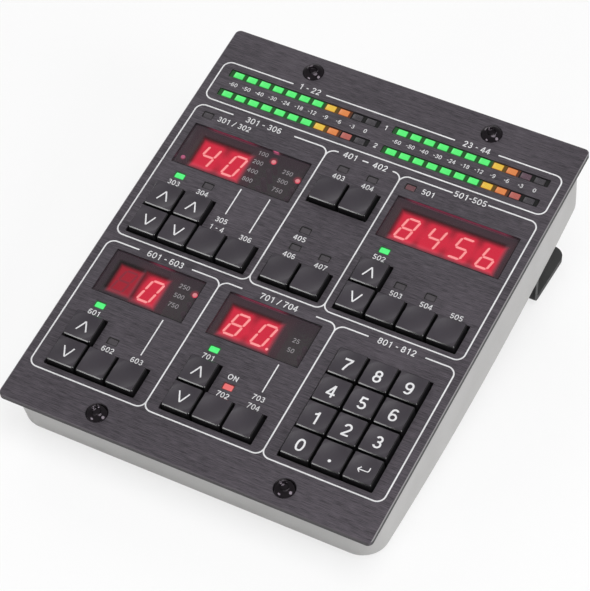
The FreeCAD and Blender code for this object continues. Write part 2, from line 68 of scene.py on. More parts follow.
# %% [markdown]
# ## The panel frame
# Everything on the plate is laid out flat, so it is easier to model it flat and to tilt it at the end. The
# keys slide straight out of the plate, so their joints give the plate's normal, and the corners of the
# plate itself give the middle of its top face. From these come two matrices, one that lays a flat piece on
# the unit and one that takes a piece of the unit back to the flat panel.

# %% Find the panel frame in the CAD model
normal = Vector(frame["joints"][0]["axis"]).normalized()
backward = Vector((0, normal.z, -normal.y))
plate_points = [v.co for v in frame["nodes"]["top_plate"].data.vertices]
depths = [p.dot(backward) for p in plate_points]
plate_middle = backward * (min(depths) + max(depths)) / 2 + normal * max(p.dot(normal) for p in plate_points)
slope = math.atan2(-normal.y, normal.z)
panel_to_unit = Matrix.Translation(plate_middle) @ Matrix.Rotation(slope, 4, "X")
unit_to_panel = panel_to_unit.inverted()
print("slope in degrees:", round(math.degrees(slope), 2))
print("plate middle in mm:", [round(c / mm, 3) for c in plate_middle])


# %% Sizes and places from the CAD nodes
def box_of(points):
    """Lowest and highest corner of some points."""
    points = list(points)
    return Vector(map(min, zip(*points))), Vector(map(max, zip(*points)))


def on_panel(node):
    """Lowest and highest corner of a CAD node in the panel frame, in millimetres."""
    low, high = box_of(unit_to_panel @ v.co for v in frame["nodes"][node].data.vertices)
    return low / mm, high / mm


plate_half = on_panel("top_plate")[1]
print("half the plate in mm:", [round(size, 2) for size in plate_half])

# %% [markdown]
# ## The camera
# The photograph looks down on the plate from its right front corner, about 46 degrees over the desk,
# through a long lens. The place and direction were worked out from the plate's four corners and its known
# size. They are given as they are, because any helper that fits the object into the view would lose the
# match.

# %% Place the camera
camera_place = Vector((0.2984, -0.5742, 0.6915))
camera_direction = Vector((-0.3223, 0.6157, -0.7190))
camera_turn = camera_direction.to_track_quat("-Z", "Y").to_euler()
bpy.ops.object.camera_add(location=camera_place, rotation=camera_turn)
camera = bpy.context.object
camera.data.sensor_width = 36
camera.data.lens = 170.2
camera.data.clip_start = 0.05
camera.data.clip_end = 20
bpy.context.scene.camera = camera
bpy.context.scene.view_settings.view_transform = "Standard"
print("camera is", round((camera_place - plate_middle).length, 3), "m from the plate")

# %% [markdown]
# ## Tools for finishes
# A node material is a sum of small steps. To write the steps as plain sums, a surface value is wrapped in a
# class whose operators add Math nodes. The reflected forms let a number stand first, so that `1 - mask`
# works. Every other node comes from one method, which sets the node's options first and feeds its sockets
# after that. The floor and the world behind the unit are built with the same tools at the end.

# %% A value that varies over a surface
class Value:
    """A socket of a finish, which can be used in sums."""

    def __init__(self, finish, socket):
        self.finish = finish
        self.socket = socket

    def step(self, operation, first, second=0.0):
        return self.finish.node("Math", {"operation": operation}, {0: first, 1: second})

    def __add__(self, other):
        return self.step("ADD", self, other)

    def __sub__(self, other):
        return self.step("SUBTRACT", self, other)

    def __rsub__(self, other):
        return self.step("SUBTRACT", other, self)

    def __mul__(self, other):
        return self.step("MULTIPLY", self, other)

    def __pow__(self, other):
        return self.step("POWER", self, other)

    def __abs__(self):
        return self.step("ABSOLUTE", self)

    def __lt__(self, other):
        return self.step("LESS_THAN", self, other)

    def __gt__(self, other):
        return self.step("GREATER_THAN", self, other)

    def at_least(self, other):
        return self.step("MAXIMUM", self, other)

    def at_most(self, other):
        return self.step("MINIMUM", self, other)

    def fraction(self):
        return self.step("FRACT", self)

    __radd__ = __add__
    __rmul__ = __mul__


print("value class ready")


# %% A finish is one Principled shader and the nodes that feed it
class Finish:
    """The nodes of a material or a world. Plain numbers and colours are set on the shader's own sockets."""

    def __init__(self, name, owners=bpy.data.materials, shader="Principled BSDF", **plain):
        self.owner = owners.new(name)
        self.owner.use_nodes = True
        self.tree = self.owner.node_tree
        self.shader = self.tree.nodes[shader]
        for socket, value in plain.items():
            self.shader.inputs[socket.replace("_", " ")].default_value = value

    def node(self, kind, options, values, output=0):
        """Add a node, set its options, feed its sockets, and give one of its outputs."""
        made = self.tree.nodes.new("ShaderNode" + kind)
        for option, value in options.items():
            setattr(made, option, value)
        for socket, value in values.items():
            self.feed(made.inputs[socket], value)
        return Value(self, made.outputs[output])

    def feed(self, socket, value):
        if isinstance(value, Value):
            self.tree.links.new(value.socket, socket)
        else:
            socket.default_value = value

    def surface(self, **links):
        """Feed sockets of the shader with values that vary."""
        for socket, value in links.items():
            self.feed(self.shader.inputs[socket.replace("_", " ")], value)
        return self.owner

    def place(self):
        """Where a point is in the panel frame, in millimetres."""
        here = self.node("TexCoord", {}, {}, "Object")
        turn = {"Vector": here, "Location": plate_middle, "Rotation": (slope, 0, 0), "Scale": (mm, mm, mm)}
        return self.node("Mapping", {"vector_type": "TEXTURE"}, turn)

    def parts(self, place):
        """The three numbers of a place."""
        split = self.node("SeparateXYZ", {}, {"Vector": place})
        return [Value(self, output) for output in split.socket.node.outputs]

    def upright(self):
        """One where a face looks along the plate's normal, and nothing at the sides."""
        facing = self.node("NewGeometry", {}, {}, "Normal")
        return self.node("VectorMath", {"operation": "DOT_PRODUCT"}, {0: facing, 1: normal}, "Value")

    def stretched(self, place, x, y, z):
        return self.node("VectorMath", {"operation": "MULTIPLY"}, {0: place, 1: (x, y, z)})

    def noise(self, place, scale, detail=2.0, roughness=0.5):
        """A soft random value about a half, with `scale` spots to a millimetre."""
        values = {"Vector": place, "Scale": scale, "Detail": detail, "Roughness": roughness}
        return self.node("TexNoise", {}, values)

    def ramp(self, value, low, high, start=0.0, end=1.0):
        """Slide smoothly from start to end while the value goes from low to high."""
        span = {"Value": value, "From Min": low, "From Max": high, "To Min": start, "To Max": end}
        return self.node("MapRange", {"interpolation_type": "SMOOTHSTEP"}, span)

    def mix(self, share, first, second):
        """A colour between two colours."""
        return self.node("Mix", {"data_type": "RGBA"}, {0: share, 6: first, 7: second}, 2)

    def bump(self, height, distance, strength):
        values = {"Height": height, "Distance": distance, "Strength": strength}
        return self.node("Bump", {}, values)


def grey(level):
    return (level, level, level, 1)


print("finish tools ready")

# %% [markdown]
# ## Where the red light falls
# Four windows show red digits. The light is brightest behind each digit and fades towards the rim of its
# cell, so two neighbours have a darker seam between them. Places and readings are listed once, for the glow
# here and for the digits later. The fade could be a picture, but sums keep it sharp at any size: one helper
# measures how far a point is outside a rectangle, another fades the light over that distance, and a third
# does so round a place.

# %% Readings, lit faces and openings
readings = {
    "window_modulation": [("4", -51.5, 31.0), ("0", -41.35, 31.0)],
    "window_time": [("8", 24.2, 30.95), ("4", 34.1, 30.95), ("5", 44.0, 30.95), ("6", 53.9, 30.95)],
    "window_feedback": [("0", -42.35, -26.4)],
    "window_preset": [("8", -9.9, -26.5), ("0", 0.15, -26.5)],
}
idle_place = (-52.45, -26.4)
lit_dots = [(-29.95, 38.275), (-18.75, 34.325), (-28.35, -21.4)]


def lit_face(first, last, y):
    """Left, right, front and back of the lit part of a display, in millimetres."""
    return (first - 4.5, last + 4.0, y - 5.8, y + 6.2)


lit_faces = [lit_face(digits[0][1], digits[-1][1], digits[0][2]) for digits in readings.values()]
idle_face = lit_face(idle_place[0], idle_place[0] + 1.1, idle_place[1])
seams = [(left[1] + right[1]) / 2 for digits in readings.values() for left, right in zip(digits, digits[1:])]
window_flange = 1.2
openings = []
for window in readings:
    low, high = on_panel(window)
    across = (low.x + window_flange, high.x - window_flange)
    along = (low.y + window_flange, high.y - window_flange)
    openings.append(across + along)
print("openings in mm:", [[round(side, 2) for side in opening] for opening in openings])


# %% Glow helpers
def outside(x, y, rectangle):
    """How far a point is outside a rectangle, in millimetres, and less than nothing inside."""
    left, right, front, back = rectangle
    across = abs(x - (left + right) / 2) - (right - left) / 2
    along = abs(y - (front + back) / 2) - (back - front) / 2
    return across.at_least(along)


def largest(values):
    """The largest of several values."""
    total = values[0]
    for value in values[1:]:
        total = total.at_least(value)
    return total


def inside(finish, x, y, rectangles, inner, outer):
    """One inside the rectangles and nothing outside, fading from inner to outer millimetres from the rim."""
    return largest([finish.ramp(outside(x, y, rectangle), outer, inner) for rectangle in rectangles])


def around(finish, x, y, places, inner, outer):
    """One at the places, fading from inner to outer millimetres away from them."""
    away = [(abs(x - x_place) ** 2 + abs(y - y_place) ** 2) ** 0.5 for x_place, y_place in places]
    return largest([finish.ramp(distance, outer, inner) for distance in away])


print("glow helpers ready")


# %% [markdown]
# ## Brushed black plate
# The plate is black anodised aluminium, brushed from left to right before it was dyed. Three noises make
# the brushing: two are stretched along the brush and squeezed across it, and one is a broad cloud. Together
# they set the colour and raise the surface by a few hundredths of a millimetre, and the finest also varies
# the roughness. The bevelled rim is cut after the brushing, and along the two sides it is painted lighter as
# a painted highlight, while the upright faces below it there are painted darker as shade. The front and
# right walls of the openings and a thin line beside them are painted darker as shade, and the back wall of
# each window is painted a lighter grey as painted light. The red digits light that back wall, which is
# given as a faint glow of the wall, with a brighter spot behind the first lit dot.

# %% The plate's finish
rim_width = 0.31


def brushed_plate():
    finish = Finish("brushed_black_plate", Metallic=0.5, Emission_Strength=1.0, Specular_IOR_Level=0.35)
    place = finish.place()
    x, y, z = finish.parts(place)
    fine = finish.noise(finish.stretched(place, 0.22, 6.0, 6.0), 1.0, 3.0, 0.7)
    broad = finish.noise(finish.stretched(place, 0.04, 1.3, 1.3), 1.0, 2.0)
    cloud = finish.noise(place, 0.03)
    streaks = 0.70 * fine + 0.17 * broad + 0.13 * cloud
    tone = finish.ramp(streaks, 0.36, 0.64)
    black = finish.mix(tone, (0.037, 0.033, 0.039, 1), (0.119, 0.104, 0.122, 1))
    rim = (abs(x) > plate_half.x - rim_width).at_least(abs(y) > plate_half.y - rim_width)
    # Painted highlight: the chamfer is lighter along the two sides than at the front and back.
    chamfer_and_highlight = finish.mix(abs(x) > plate_half.x - rim_width, (0.090, 0.080, 0.090, 1), (0.30, 0.29, 0.30, 1))
    # Painted shade: the upright faces at the two sides are darker than those at the front and back.
    side_face_shade = finish.mix(abs(x) > plate_half.x - 0.05, (0.050, 0.045, 0.050, 1), (0.010, 0.009, 0.010, 1))
    side = finish.mix(z > -rim_width, side_face_shade, chamfer_and_highlight)
    # Painted shade: the front and right walls of each opening and a thin line on the plate beside them.
    shaded = [(left + 0.3, right, front, back - 0.3) for left, right, front, back in openings]
    dark_band = inside(finish, x, y, shaded, 0.2, 0.3)
    walls = []
    for left, right, front, back in openings:
        across = abs(x - (left + right) / 2) < (right - left) / 2
        walls.append((abs(y - back) < 0.05) * across)
    wall = largest(walls) * (z < -0.2)
    # The back wall is painted lighter grey as painted light, and the rest of the dark band is nearly black as
    # shade.
    opening_light_and_shade = finish.mix(wall, (0.006, 0.005, 0.006, 1), (0.13, 0.11, 0.13, 1))
    # Painted light: the digits and the first lit dot glow faintly on the back wall of their window.
    over_digits = [(left, right, front, back + 6) for left, right, front, back in lit_faces]
    glow = inside(finish, x, y, over_digits, -3.0, 1.5)
    dot_x = lit_dots[0][0]
    spots = inside(finish, x, y, [(dot_x - 0.8, dot_x + 0.8, 30, 80)], -0.2, 0.8)
    red = finish.mix(spots, (0.15, 0.012, 0.035, 1), (0.50, 0.08, 0.18, 1))
    return finish.surface(
        Base_Color=finish.mix(rim, finish.mix(dark_band, black, opening_light_and_shade), side),
        Roughness=0.36 + 0.16 * fine,
        Emission_Color=finish.mix(wall * glow.at_least(spots), grey(0), red),
        Normal=finish.bump(streaks, 0.00006, 0.6),
    )


plate_finish = brushed_plate()
print("plate finish has", len(plate_finish.node_tree.nodes), "nodes")

# %% [markdown]
# ## Moulded plastics and rubber
# The tray, the keys, the switches and the feet are moulded or sprayed. What tells them apart is the grain:
# a spark-eroded mould leaves a fine even grain, spray paint a rounder one, and rubber has hardly any gloss.
# One recipe takes two colours, the size and height of the grain and the roughness, and it serves for
# printed ink too. A key is satin on its top, glossy round its rim and dull at its sides, and its rim and
# sides are painted nearly black as shade, so it has a recipe of its own, which tells these apart by the
# direction in which a face looks.

# %% A recipe for grained surfaces
def grained(name, dark, light, grain, height, roughness):
    """A grained surface. `grain` is the number of grains to a millimetre and `height` is in metres."""
    finish = Finish(name)
    place = finish.place()
    grains = finish.noise(place, grain, 2.0)
    patches = finish.noise(place, 0.06, 3.0)
    tone = finish.ramp(0.5 * (grains + patches), 0.3, 0.7)
    return finish.surface(
        Base_Color=finish.mix(tone, dark, light),
        Roughness=roughness + 0.12 * (grains - 0.5) + 0.06 * (patches - 0.5),
        Normal=finish.bump(grains, height, 0.5),
    )


tray_colours = (0.427, 0.422, 0.417, 1), (0.485, 0.480, 0.475, 1)
tray_finish = grained("light_grey_tray", *tray_colours, 3.5, 0.00006, 0.5)
switch_finish = grained("switch_plastic", grey(0.012), grey(0.025), 5.0, 0.00004, 0.5)
rubber_finish = grained("foot_rubber", (0.010, 0.010, 0.010, 1), (0.024, 0.023, 0.022, 1), 4.0, 0.0001, 0.85)
stand_finish = grained("stand_powder_coat", grey(0.011), grey(0.024), 2.6, 0.00012, 0.45)
chip_finish = grained("chip_plastic", grey(0.012), grey(0.022), 8.0, 0.00002, 0.6)
ink_finish = grained("white_ink", (0.60, 0.60, 0.61, 1), (0.76, 0.76, 0.77, 1), 4.0, 0.00001, 0.6)
grey_ink_finish = grained("grey_ink", (0.20, 0.19, 0.20, 1), (0.28, 0.27, 0.28, 1), 4.0, 0.00001, 0.5)
print("grained finishes ready")


# %% Key plastic, satin on top, glossy on the rim and dull at the sides, with painted shade on rim and sides
def key_plastic():
    finish = Finish("key_plastic", Coat_Roughness=0.16)
    place = finish.place()
    grains = finish.noise(place, 6.0)
    patches = finish.noise(place, 0.06, 3.0)
    upright = finish.upright()
    top = finish.ramp(upright, 0.90, 0.975)
    side = finish.ramp(upright, 0.50, 0.10)
    tone = finish.ramp(0.5 * (grains + patches), 0.3, 0.7)
    satin = finish.mix(tone, (0.0226, 0.0180, 0.0248, 1), (0.0357, 0.0290, 0.0384, 1))
    return finish.surface(
        # Painted shade: the rim and the sides are nearly black, and only the top keeps the satin tone.
        Base_Color=finish.mix(top, (0.0045, 0.004, 0.005, 1), satin),
        Roughness=0.17 + 0.25 * top + 0.3 * side + 0.1 * (grains - 0.5),
        Coat_Weight=0.4 * (1 - top) * (1 - side),
        Normal=finish.bump(grains, 0.00002, 0.5),
    )


key_finish = key_plastic()
print("key finish has", len(key_finish.node_tree.nodes), "nodes")

# %% [markdown]
# ## Metals and the circuit board
# Screws are turned or pressed and then plated, so their marks run across in fine scratches, made by a
# squeezed noise. The board is a green laminate, with copper tracks under the varnish that show as lighter
# bands. Most of these pieces sit inside or behind, but the screws of the plate and the shell of the socket
# do show.

# %% Metals and laminate
def plated(name, dark, light, roughness):
    finish = Finish(name, Metallic=1.0)
    place = finish.place()
    scratches = finish.noise(finish.stretched(place, 6.0, 0.8, 6.0), 1.0, 3.0)
    patches = finish.noise(place, 0.4)
    return finish.surface(
        Base_Color=finish.mix(finish.ramp(patches, 0.35, 0.65), dark, light),
        Roughness=roughness + 0.2 * (scratches - 0.5) + 0.1 * (patches - 0.5),
        Normal=finish.bump(scratches, 0.00002, 0.4),
    )


def laminate():
    finish = Finish("board_laminate", Coat_Weight=0.4)
    place = finish.place()
    x, y, z = finish.parts(place)
    ways = finish.noise(finish.stretched(place, 0.35, 0.09, 1.0), 1.0, 1.0)
    tracks = finish.ramp(abs((ways * 24).fraction() - 0.5), 0.18, 0.26)
    green = finish.mix(tracks, (0.012, 0.06, 0.028, 1), (0.022, 0.11, 0.045, 1))
    edge = abs(x) > on_panel("main_board")[1].x - 0.02
    return finish.surface(
        Base_Color=finish.mix(edge, green, (0.30, 0.29, 0.16, 1)),
        Roughness=0.35 + 0.15 * finish.noise(place, 1.5),
        Normal=finish.bump(tracks, 0.00003, 0.5),
    )


black_screw_finish = plated("black_screw", (0.034, 0.029, 0.034, 1), (0.046, 0.040, 0.046, 1), 0.08)
steel_finish = plated("plated_steel", (0.52, 0.52, 0.50, 1), (0.66, 0.65, 0.63, 1), 0.30)
brass_finish = plated("brass_insert", (0.55, 0.38, 0.14, 1), (0.68, 0.49, 0.20, 1), 0.32)
board_finish = laminate()
print("metals and board ready")

# %% [markdown]
# ## Smoked panes and what glows behind them
# A smoked pane lets a little over a third of the light through. It could be real coloured glass, but here
# its top face is dark gloss with an alpha, because that looks the same in any renderer. Its lower face,
# which lies close over the digits, scatters their light, so it gets a thin red haze over and round the lit
# cells and lets everything else through. The red faces behind are brightest in the middle of their cells.

# %% Smoked pane and digit face
pane_alpha = 0.62
between_rows = 2.2
face_level = on_panel("four_digit_display")[1].z


def smoked_pane():
    finish = Finish(
        "smoked_window", Roughness=0.12, Emission_Strength=1.0, Coat_Weight=0.2, Coat_Roughness=0.05,
    )
    place = finish.place()
    x, y, z = finish.parts(place)
    low, high = on_panel("window_time")
    smoke = finish.noise(place, 0.08)
    lit = inside(finish, x, y, lit_faces + [idle_face], -0.8, 0.6)
    haze = 0.25 * inside(finish, x, y, lit_faces, 0.0, 1.2) + 0.05 * inside(finish, x, y, lit_faces, 0.0, 6.0)
    haze = haze.at_least(0.5 * around(finish, x, y, lit_dots, 0.6, 1.9))
    under = z < low.z + 0.02
    clear = finish.mix(smoke, (0.055, 0.038, 0.049, 1), (0.069, 0.048, 0.060, 1))
    return finish.surface(
        Base_Color=finish.mix(lit, clear, (0.012, 0.004, 0.006, 1)),
        Alpha=(pane_alpha + 0.04 * (smoke - 0.5)) * (z > high.z - 0.02) + under * haze,
        Emission_Color=finish.mix(under, grey(0), (0.85, 0.022, 0.07, 1)),
    )


def digit_face():
    finish = Finish("display_module", Roughness=0.35, Emission_Strength=1.95)
    place = finish.place()
    x, y, z = finish.parts(place)
    lit = inside(finish, x, y, lit_faces, -1.6, 0.6)
    idle = inside(finish, x, y, [idle_face], -1.6, 0.3)
    dark_band = largest([finish.ramp(abs(x - seam_x), 2.6, 0.0) for seam_x in seams])
    row_distance = (readings["window_time"][0][2] - readings["window_preset"][0][2]) / 2
    off_middle = abs(abs(y - between_rows) - row_distance)
    dark_band = dark_band * finish.ramp(off_middle, 0.5, 5.5, 0.12, 0.60)
    cloud = finish.noise(place, 0.28, 1.0)
    power = (lit * (1 - dark_band) * (0.82 + 0.56 * cloud)).at_least(idle * 0.45) * (z > face_level - 0.3)
    return finish.surface(
        Base_Color=finish.mix(cloud, (0.035, 0.008, 0.010, 1), (0.055, 0.012, 0.016, 1)),
        Emission_Color=finish.mix(power, grey(0), (0.96, 0.024, 0.066, 1)),
    )


pane_finish = smoked_pane()
module_finish = digit_face()
print("pane finish has", len(pane_finish.node_tree.nodes), "nodes")
print("digit face finish has", len(module_finish.node_tree.nodes), "nodes")

# %% [markdown]
# ## Everything that is lit
# A lit lens, dot or segment is brightest on its flat top and redder or darker round its softened rim,
# because the chip sits under the middle. The recipe therefore compares a face's direction with the plate's
# normal. The light stops a little below the plate, so that it doesn't fill the slots from the sides of the
# lenses.

# %% A recipe for lit pieces
def glowing(name, middle, rim, power, lowest=-3.5):
    """A lit piece with one colour on its top and another round it, dark below the lowest level."""
    finish = Finish(name, Roughness=0.3, Emission_Strength=power)
    place = finish.place()
    x, y, z = finish.parts(place)
    spots = finish.noise(place, 0.6, 1.0)
    share = finish.ramp(finish.upright(), 0.35, 0.95) * (0.75 + 0.5 * spots).at_most(1.0)
    dull = tuple(0.05 * part for part in rim[:3]) + (1,)
    return finish.surface(
        Base_Color=finish.mix(share, dull, grey(0.03)),
        Emission_Color=finish.mix(z > lowest, grey(0), finish.mix(share, rim, middle)),
    )


segment_finish = glowing("lit_segment", (1.0, 0.36, 0.35, 1), (1.0, 0.18, 0.20, 1), 3.2)
idle_segment_finish = glowing("idle_segment", (0.30, 0.020, 0.040, 1), (0.25, 0.015, 0.030, 1), 2.0)
dot_finish = glowing("lit_dot", (1.0, 0.46, 0.46, 1), (0.90, 0.05, 0.10, 1), 2.4)
dim_dot_finish = glowing("dim_dot", (0.80, 0.16, 0.34, 1), (0.25, 0.02, 0.05, 1), 1.3)
print("lit finishes ready")

# %% [markdown]
# ## Lamps and meter lenses
# Each meter has eleven lenses: seven green, then yellow, orange and two red. The lit ones glow, and the
# last ones are dark or dim. A lens that is not lit is smoky plastic over a dark pit. The black bar that
# holds the lenses takes up some of their light, so between two lit lenses it shines faintly in their
# colour.

# %% Lens finishes
def unlit(name, colour, roughness):
    finish = Finish(name, Coat_Weight=0.15, Coat_Roughness=0.15, Specular_IOR_Level=0.4)
    place = finish.place()
    smoke = finish.noise(place, 0.9, 2.0)
    darker = tuple(c * 0.7 for c in colour[:3]) + (1,)
    return finish.surface(
        Base_Color=finish.mix(smoke, darker, colour),
        Roughness=roughness + 0.1 * (smoke - 0.5),
        Normal=finish.bump(finish.noise(place, 3.0), 0.00003, 0.4),
    )


def lens_bar():
    meter_start, yellow_from, orange_from, unlit_from = 2.7, 36.9, 42.2, 47.0
    finish = Finish("meter_plastic", Roughness=0.5, Emission_Strength=1.0, Specular_IOR_Level=0.15)
    place = finish.place()
    x, y, z = finish.parts(place)
    low, high = on_panel("meter_carriers")
    along = abs(x + (x < 0) * (high.x + meter_start)) - meter_start
    warm = finish.mix(along > orange_from, (0.10, 0.055, 0.004, 1), (0.09, 0.025, 0.006, 1))
    colour = finish.mix(along > yellow_from, (0.010, 0.075, 0.014, 1), warm)
    grains = finish.noise(place, 5.0)
    return finish.surface(
        Base_Color=finish.mix(grains, grey(0.006), grey(0.014)),
        Emission_Color=finish.mix((along < unlit_from) * (z > -1.9), grey(0), colour),
        Normal=finish.bump(grains, 0.00003, 0.5),
    )


green_finish = glowing("green_lens", (0.070, 0.86, 0.16, 1), (0.020, 0.34, 0.045, 1), 1.0, -1.6)
yellow_finish = glowing("yellow_lens", (0.75, 0.48, 0.025, 1), (0.55, 0.16, 0.01, 1), 1.0, -1.6)
orange_finish = glowing("orange_lens", (0.69, 0.205, 0.038, 1), (0.40, 0.07, 0.01, 1), 1.0, -1.6)
ember_finish = glowing("ember_lens", (0.41, 0.085, 0.065, 1), (0.16, 0.03, 0.03, 1), 1.0, -1.6)
dim_lens_finish = unlit("dim_lens", (0.12, 0.068, 0.092, 1), 0.4)
dark_lens_finish = unlit("dark_lens", (0.058, 0.052, 0.060, 1), 0.4)
green_lamp_finish = glowing("green_lamp", (0.060, 0.90, 0.19, 1), (0.025, 0.50, 0.07, 1), 1.0, -1.6)
red_lamp_finish = glowing("red_lamp", (0.78, 0.13, 0.13, 1), (0.55, 0.04, 0.05, 1), 1.0, -1.6)
brown_lamp_finish = unlit("brown_lamp", (0.15, 0.062, 0.072, 1), 0.4)
dark_lamp_finish = unlit("dark_lamp", (0.058, 0.050, 0.058, 1), 0.45)
# The rims of lit lamps get a faint painted glow of the lamp's light.
green_rim_glow_finish = glowing("green_lamp_rim_glow", (0.004, 0.10, 0.015, 1), (0.001, 0.02, 0.003, 1), 1.0, -1.6)
red_rim_glow_finish = glowing("red_lamp_rim_glow", (0.10, 0.006, 0.006, 1), (0.02, 0.002, 0.002, 1), 1.0, -1.6)
carrier_finish = lens_bar()
print("lens finishes ready")

# %% [markdown]
# ## Modelling helpers
# The pieces are modelled with Blender's own operators, as by hand. An operator works on what is selected,
# so one helper selects a piece alone, and another opens it and picks its faces, edges or corners by their
# place. Each finished piece keeps its object at the origin and carries its place in its mesh, as the CAD
# nodes do.

# %% Select a piece and pick from it
def only(piece):
    """Select one object and nothing else."""
    bpy.ops.object.select_all(action="DESELECT")
    piece.select_set(True)
    bpy.context.view_layer.objects.active = piece


def added(name):
    """Name the object that an operator just added, and move its place and size into its mesh."""
    piece = bpy.context.object
    piece.name = name
    bpy.ops.object.transform_apply(location=True, rotation=True, scale=True)
    return piece


def pick(piece, kind, test):
    """Open a piece with the faces, edges or corners selected whose middle and direction pass a test."""
    if bpy.context.mode != "OBJECT":
        bpy.ops.object.mode_set(mode="OBJECT")
    only(piece)
    mesh = piece.data
    for group in (mesh.vertices, mesh.edges, mesh.polygons):
        group.foreach_set("select", [False] * len(group))
    bpy.context.tool_settings.mesh_select_mode = (kind == "corner", kind == "edge", kind == "face")
    if kind == "corner":
        for corner in mesh.vertices:
            corner.select = test(corner.co / mm, corner.normal)
    elif kind == "edge":
        for edge in mesh.edges:
            first, second = (mesh.vertices[index].co for index in edge.vertices)
            edge.select = test((first + second) / 2 / mm, (second - first).normalized())
    else:
        for face in mesh.polygons:
            face.select = test(face.center / mm, face.normal)
    bpy.ops.object.mode_set(mode="EDIT")


print("picking helpers ready")


# %% Shape what is selected
def whole(piece):
    """Open a piece with all of it selected."""
    pick(piece, "face", lambda middle, facing: True)


def close(piece):
    """Leave edit mode and turn all faces outwards."""
    bpy.ops.mesh.select_all(action="SELECT")
    bpy.ops.mesh.normals_make_consistent(inside=False)
    bpy.ops.object.mode_set(mode="OBJECT")
    return piece


def thicken(piece, height):
    """Raise a flat piece to a height in millimetres."""
    whole(piece)
    bpy.ops.mesh.extrude_region_move(TRANSFORM_OT_translate={"value": (0, 0, height * mm)})
    return close(piece)


def modify(piece, kind, **settings):
    """Add a modifier and apply it."""
    only(piece)
    modifier = piece.modifiers.new(kind.lower(), kind)
    for name, value in settings.items():
        setattr(modifier, name, value)
    bpy.ops.object.modifier_apply(modifier=modifier.name)
    return piece


print("shaping helpers ready")


# %% Start from a block, a rod or a plane
def block(name, low, high):
    """A box from its lowest to its highest corner, in millimetres."""
    low, high = Vector(low), Vector(high)
    bpy.ops.object.select_all(action="DESELECT")
    bpy.ops.mesh.primitive_cube_add(size=mm, location=(low + high) / 2 * mm)
    bpy.context.object.scale = high - low
    return added(name)


def rod(name, radius, low, high, sides, x=0, y=0):
    """An upright rod between two levels, in millimetres."""
    bpy.ops.object.select_all(action="DESELECT")
    place = Vector((x, y, (low + high) / 2)) * mm
    depth = (high - low) * mm
    bpy.ops.mesh.primitive_cylinder_add(vertices=sides, radius=radius * mm, depth=depth, location=place)
    return added(name)


def sheet(name, left, right, front, back):
    """A flat rectangle on the panel, in millimetres."""
    bpy.ops.object.select_all(action="DESELECT")
    bpy.ops.mesh.primitive_plane_add(size=mm, location=((left + right) / 2 * mm, (front + back) / 2 * mm, 0))
    bpy.context.object.scale = (right - left, back - front, 1)
    return added(name)


print("starting shapes ready")


# %% Copy and join
def moved(x, y, z=0):
    return Matrix.Translation(Vector((x, y, z)) * mm)


def copied(piece, name, matrix):
    """A copy with its own mesh, moved by a matrix."""
    twin = bpy.data.objects.new(name, piece.data.copy())
    twin.data.transform(matrix)
    bpy.context.scene.collection.objects.link(twin)
    return twin


def joined(pieces, name):
    only(pieces[0])
    for piece in pieces:
        piece.select_set(True)
    if len(pieces) > 1:
        bpy.ops.object.join()
    pieces[0].name = name
    return pieces[0]


def discard(piece):
    bpy.data.objects.remove(piece)


print("copying helpers ready")


# %% Lay a piece on the panel
def smooth(piece, degrees):
    only(piece)
    bpy.ops.object.shade_smooth_by_angle(angle=math.radians(degrees))
    return piece


def dress(piece, material, body, slot, *nodes):
    """Lay a piece modelled flat on the sloped panel, give it its finish and body, and hide the CAD nodes it
    replaces.
    """
    piece.data.transform(panel_to_unit)
    piece.data.materials.clear()
    piece.data.materials.append(material)
    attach(piece, body)
    if nodes:
        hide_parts(*nodes)
    return piece


print("dressing helpers ready")


# %% Find where repeated pieces are
def places_of(node):
    """Middles of a CAD node's separate solids in millimetres, row by row from the back, left to right."""
    loose = copied(frame["nodes"][node], "loose_parts", unit_to_panel)
    whole(loose)
    bpy.ops.mesh.remove_doubles(threshold=0.001 * mm)
    bpy.ops.mesh.separate(type="LOOSE")
    bpy.ops.object.mode_set(mode="OBJECT")
    places = []
    for part in list(bpy.context.selected_objects):
        low, high = box_of(v.co for v in part.data.vertices)
        places.append((low + high) / 2 / mm)
        discard(part)
    return sorted(places, key=lambda place: (-round(place.y, 1), place.x))


screw_places = places_of("plate_screws")
print("screws at", [[round(c, 2) for c in place] for place in screw_places])

# %% [markdown]
# ## Keys
# A key is a square cap that tapers a little to its top, with a round dish in which a finger finds its
# middle, and a hollow skirt with a stem below. It starts as a block. Its upright edges are rounded, and its
# rim gets one narrow flat chamfer, which draws a thin bright line along the front of the key. The dish is
# cut by a shallow lens, the cap of a large ball, and leaves small flats at the corners. One key is modelled
# and copied to all thirty-five places.

# %% Model one key at the middle of the panel
key_box = on_panel("key_bypass")
stem_low, key_high = key_box[0].z, key_box[1].z
key_size = key_box[1].x - key_box[0].x
key_top = key_size - 0.25
key_low = key_high - 6.2
key_wall, key_hollow = 1.1, 4.3
key_dish = 0.5
dish_radius = ((key_top / 2) ** 2 + key_dish ** 2) / (2 * key_dish)


def dish_level(x, y):
    """Height of the dished top at a place on the key, in millimetres."""
    ball = key_high - key_dish + dish_radius - math.sqrt(dish_radius ** 2 - x * x - y * y)
    return min(ball, key_high)


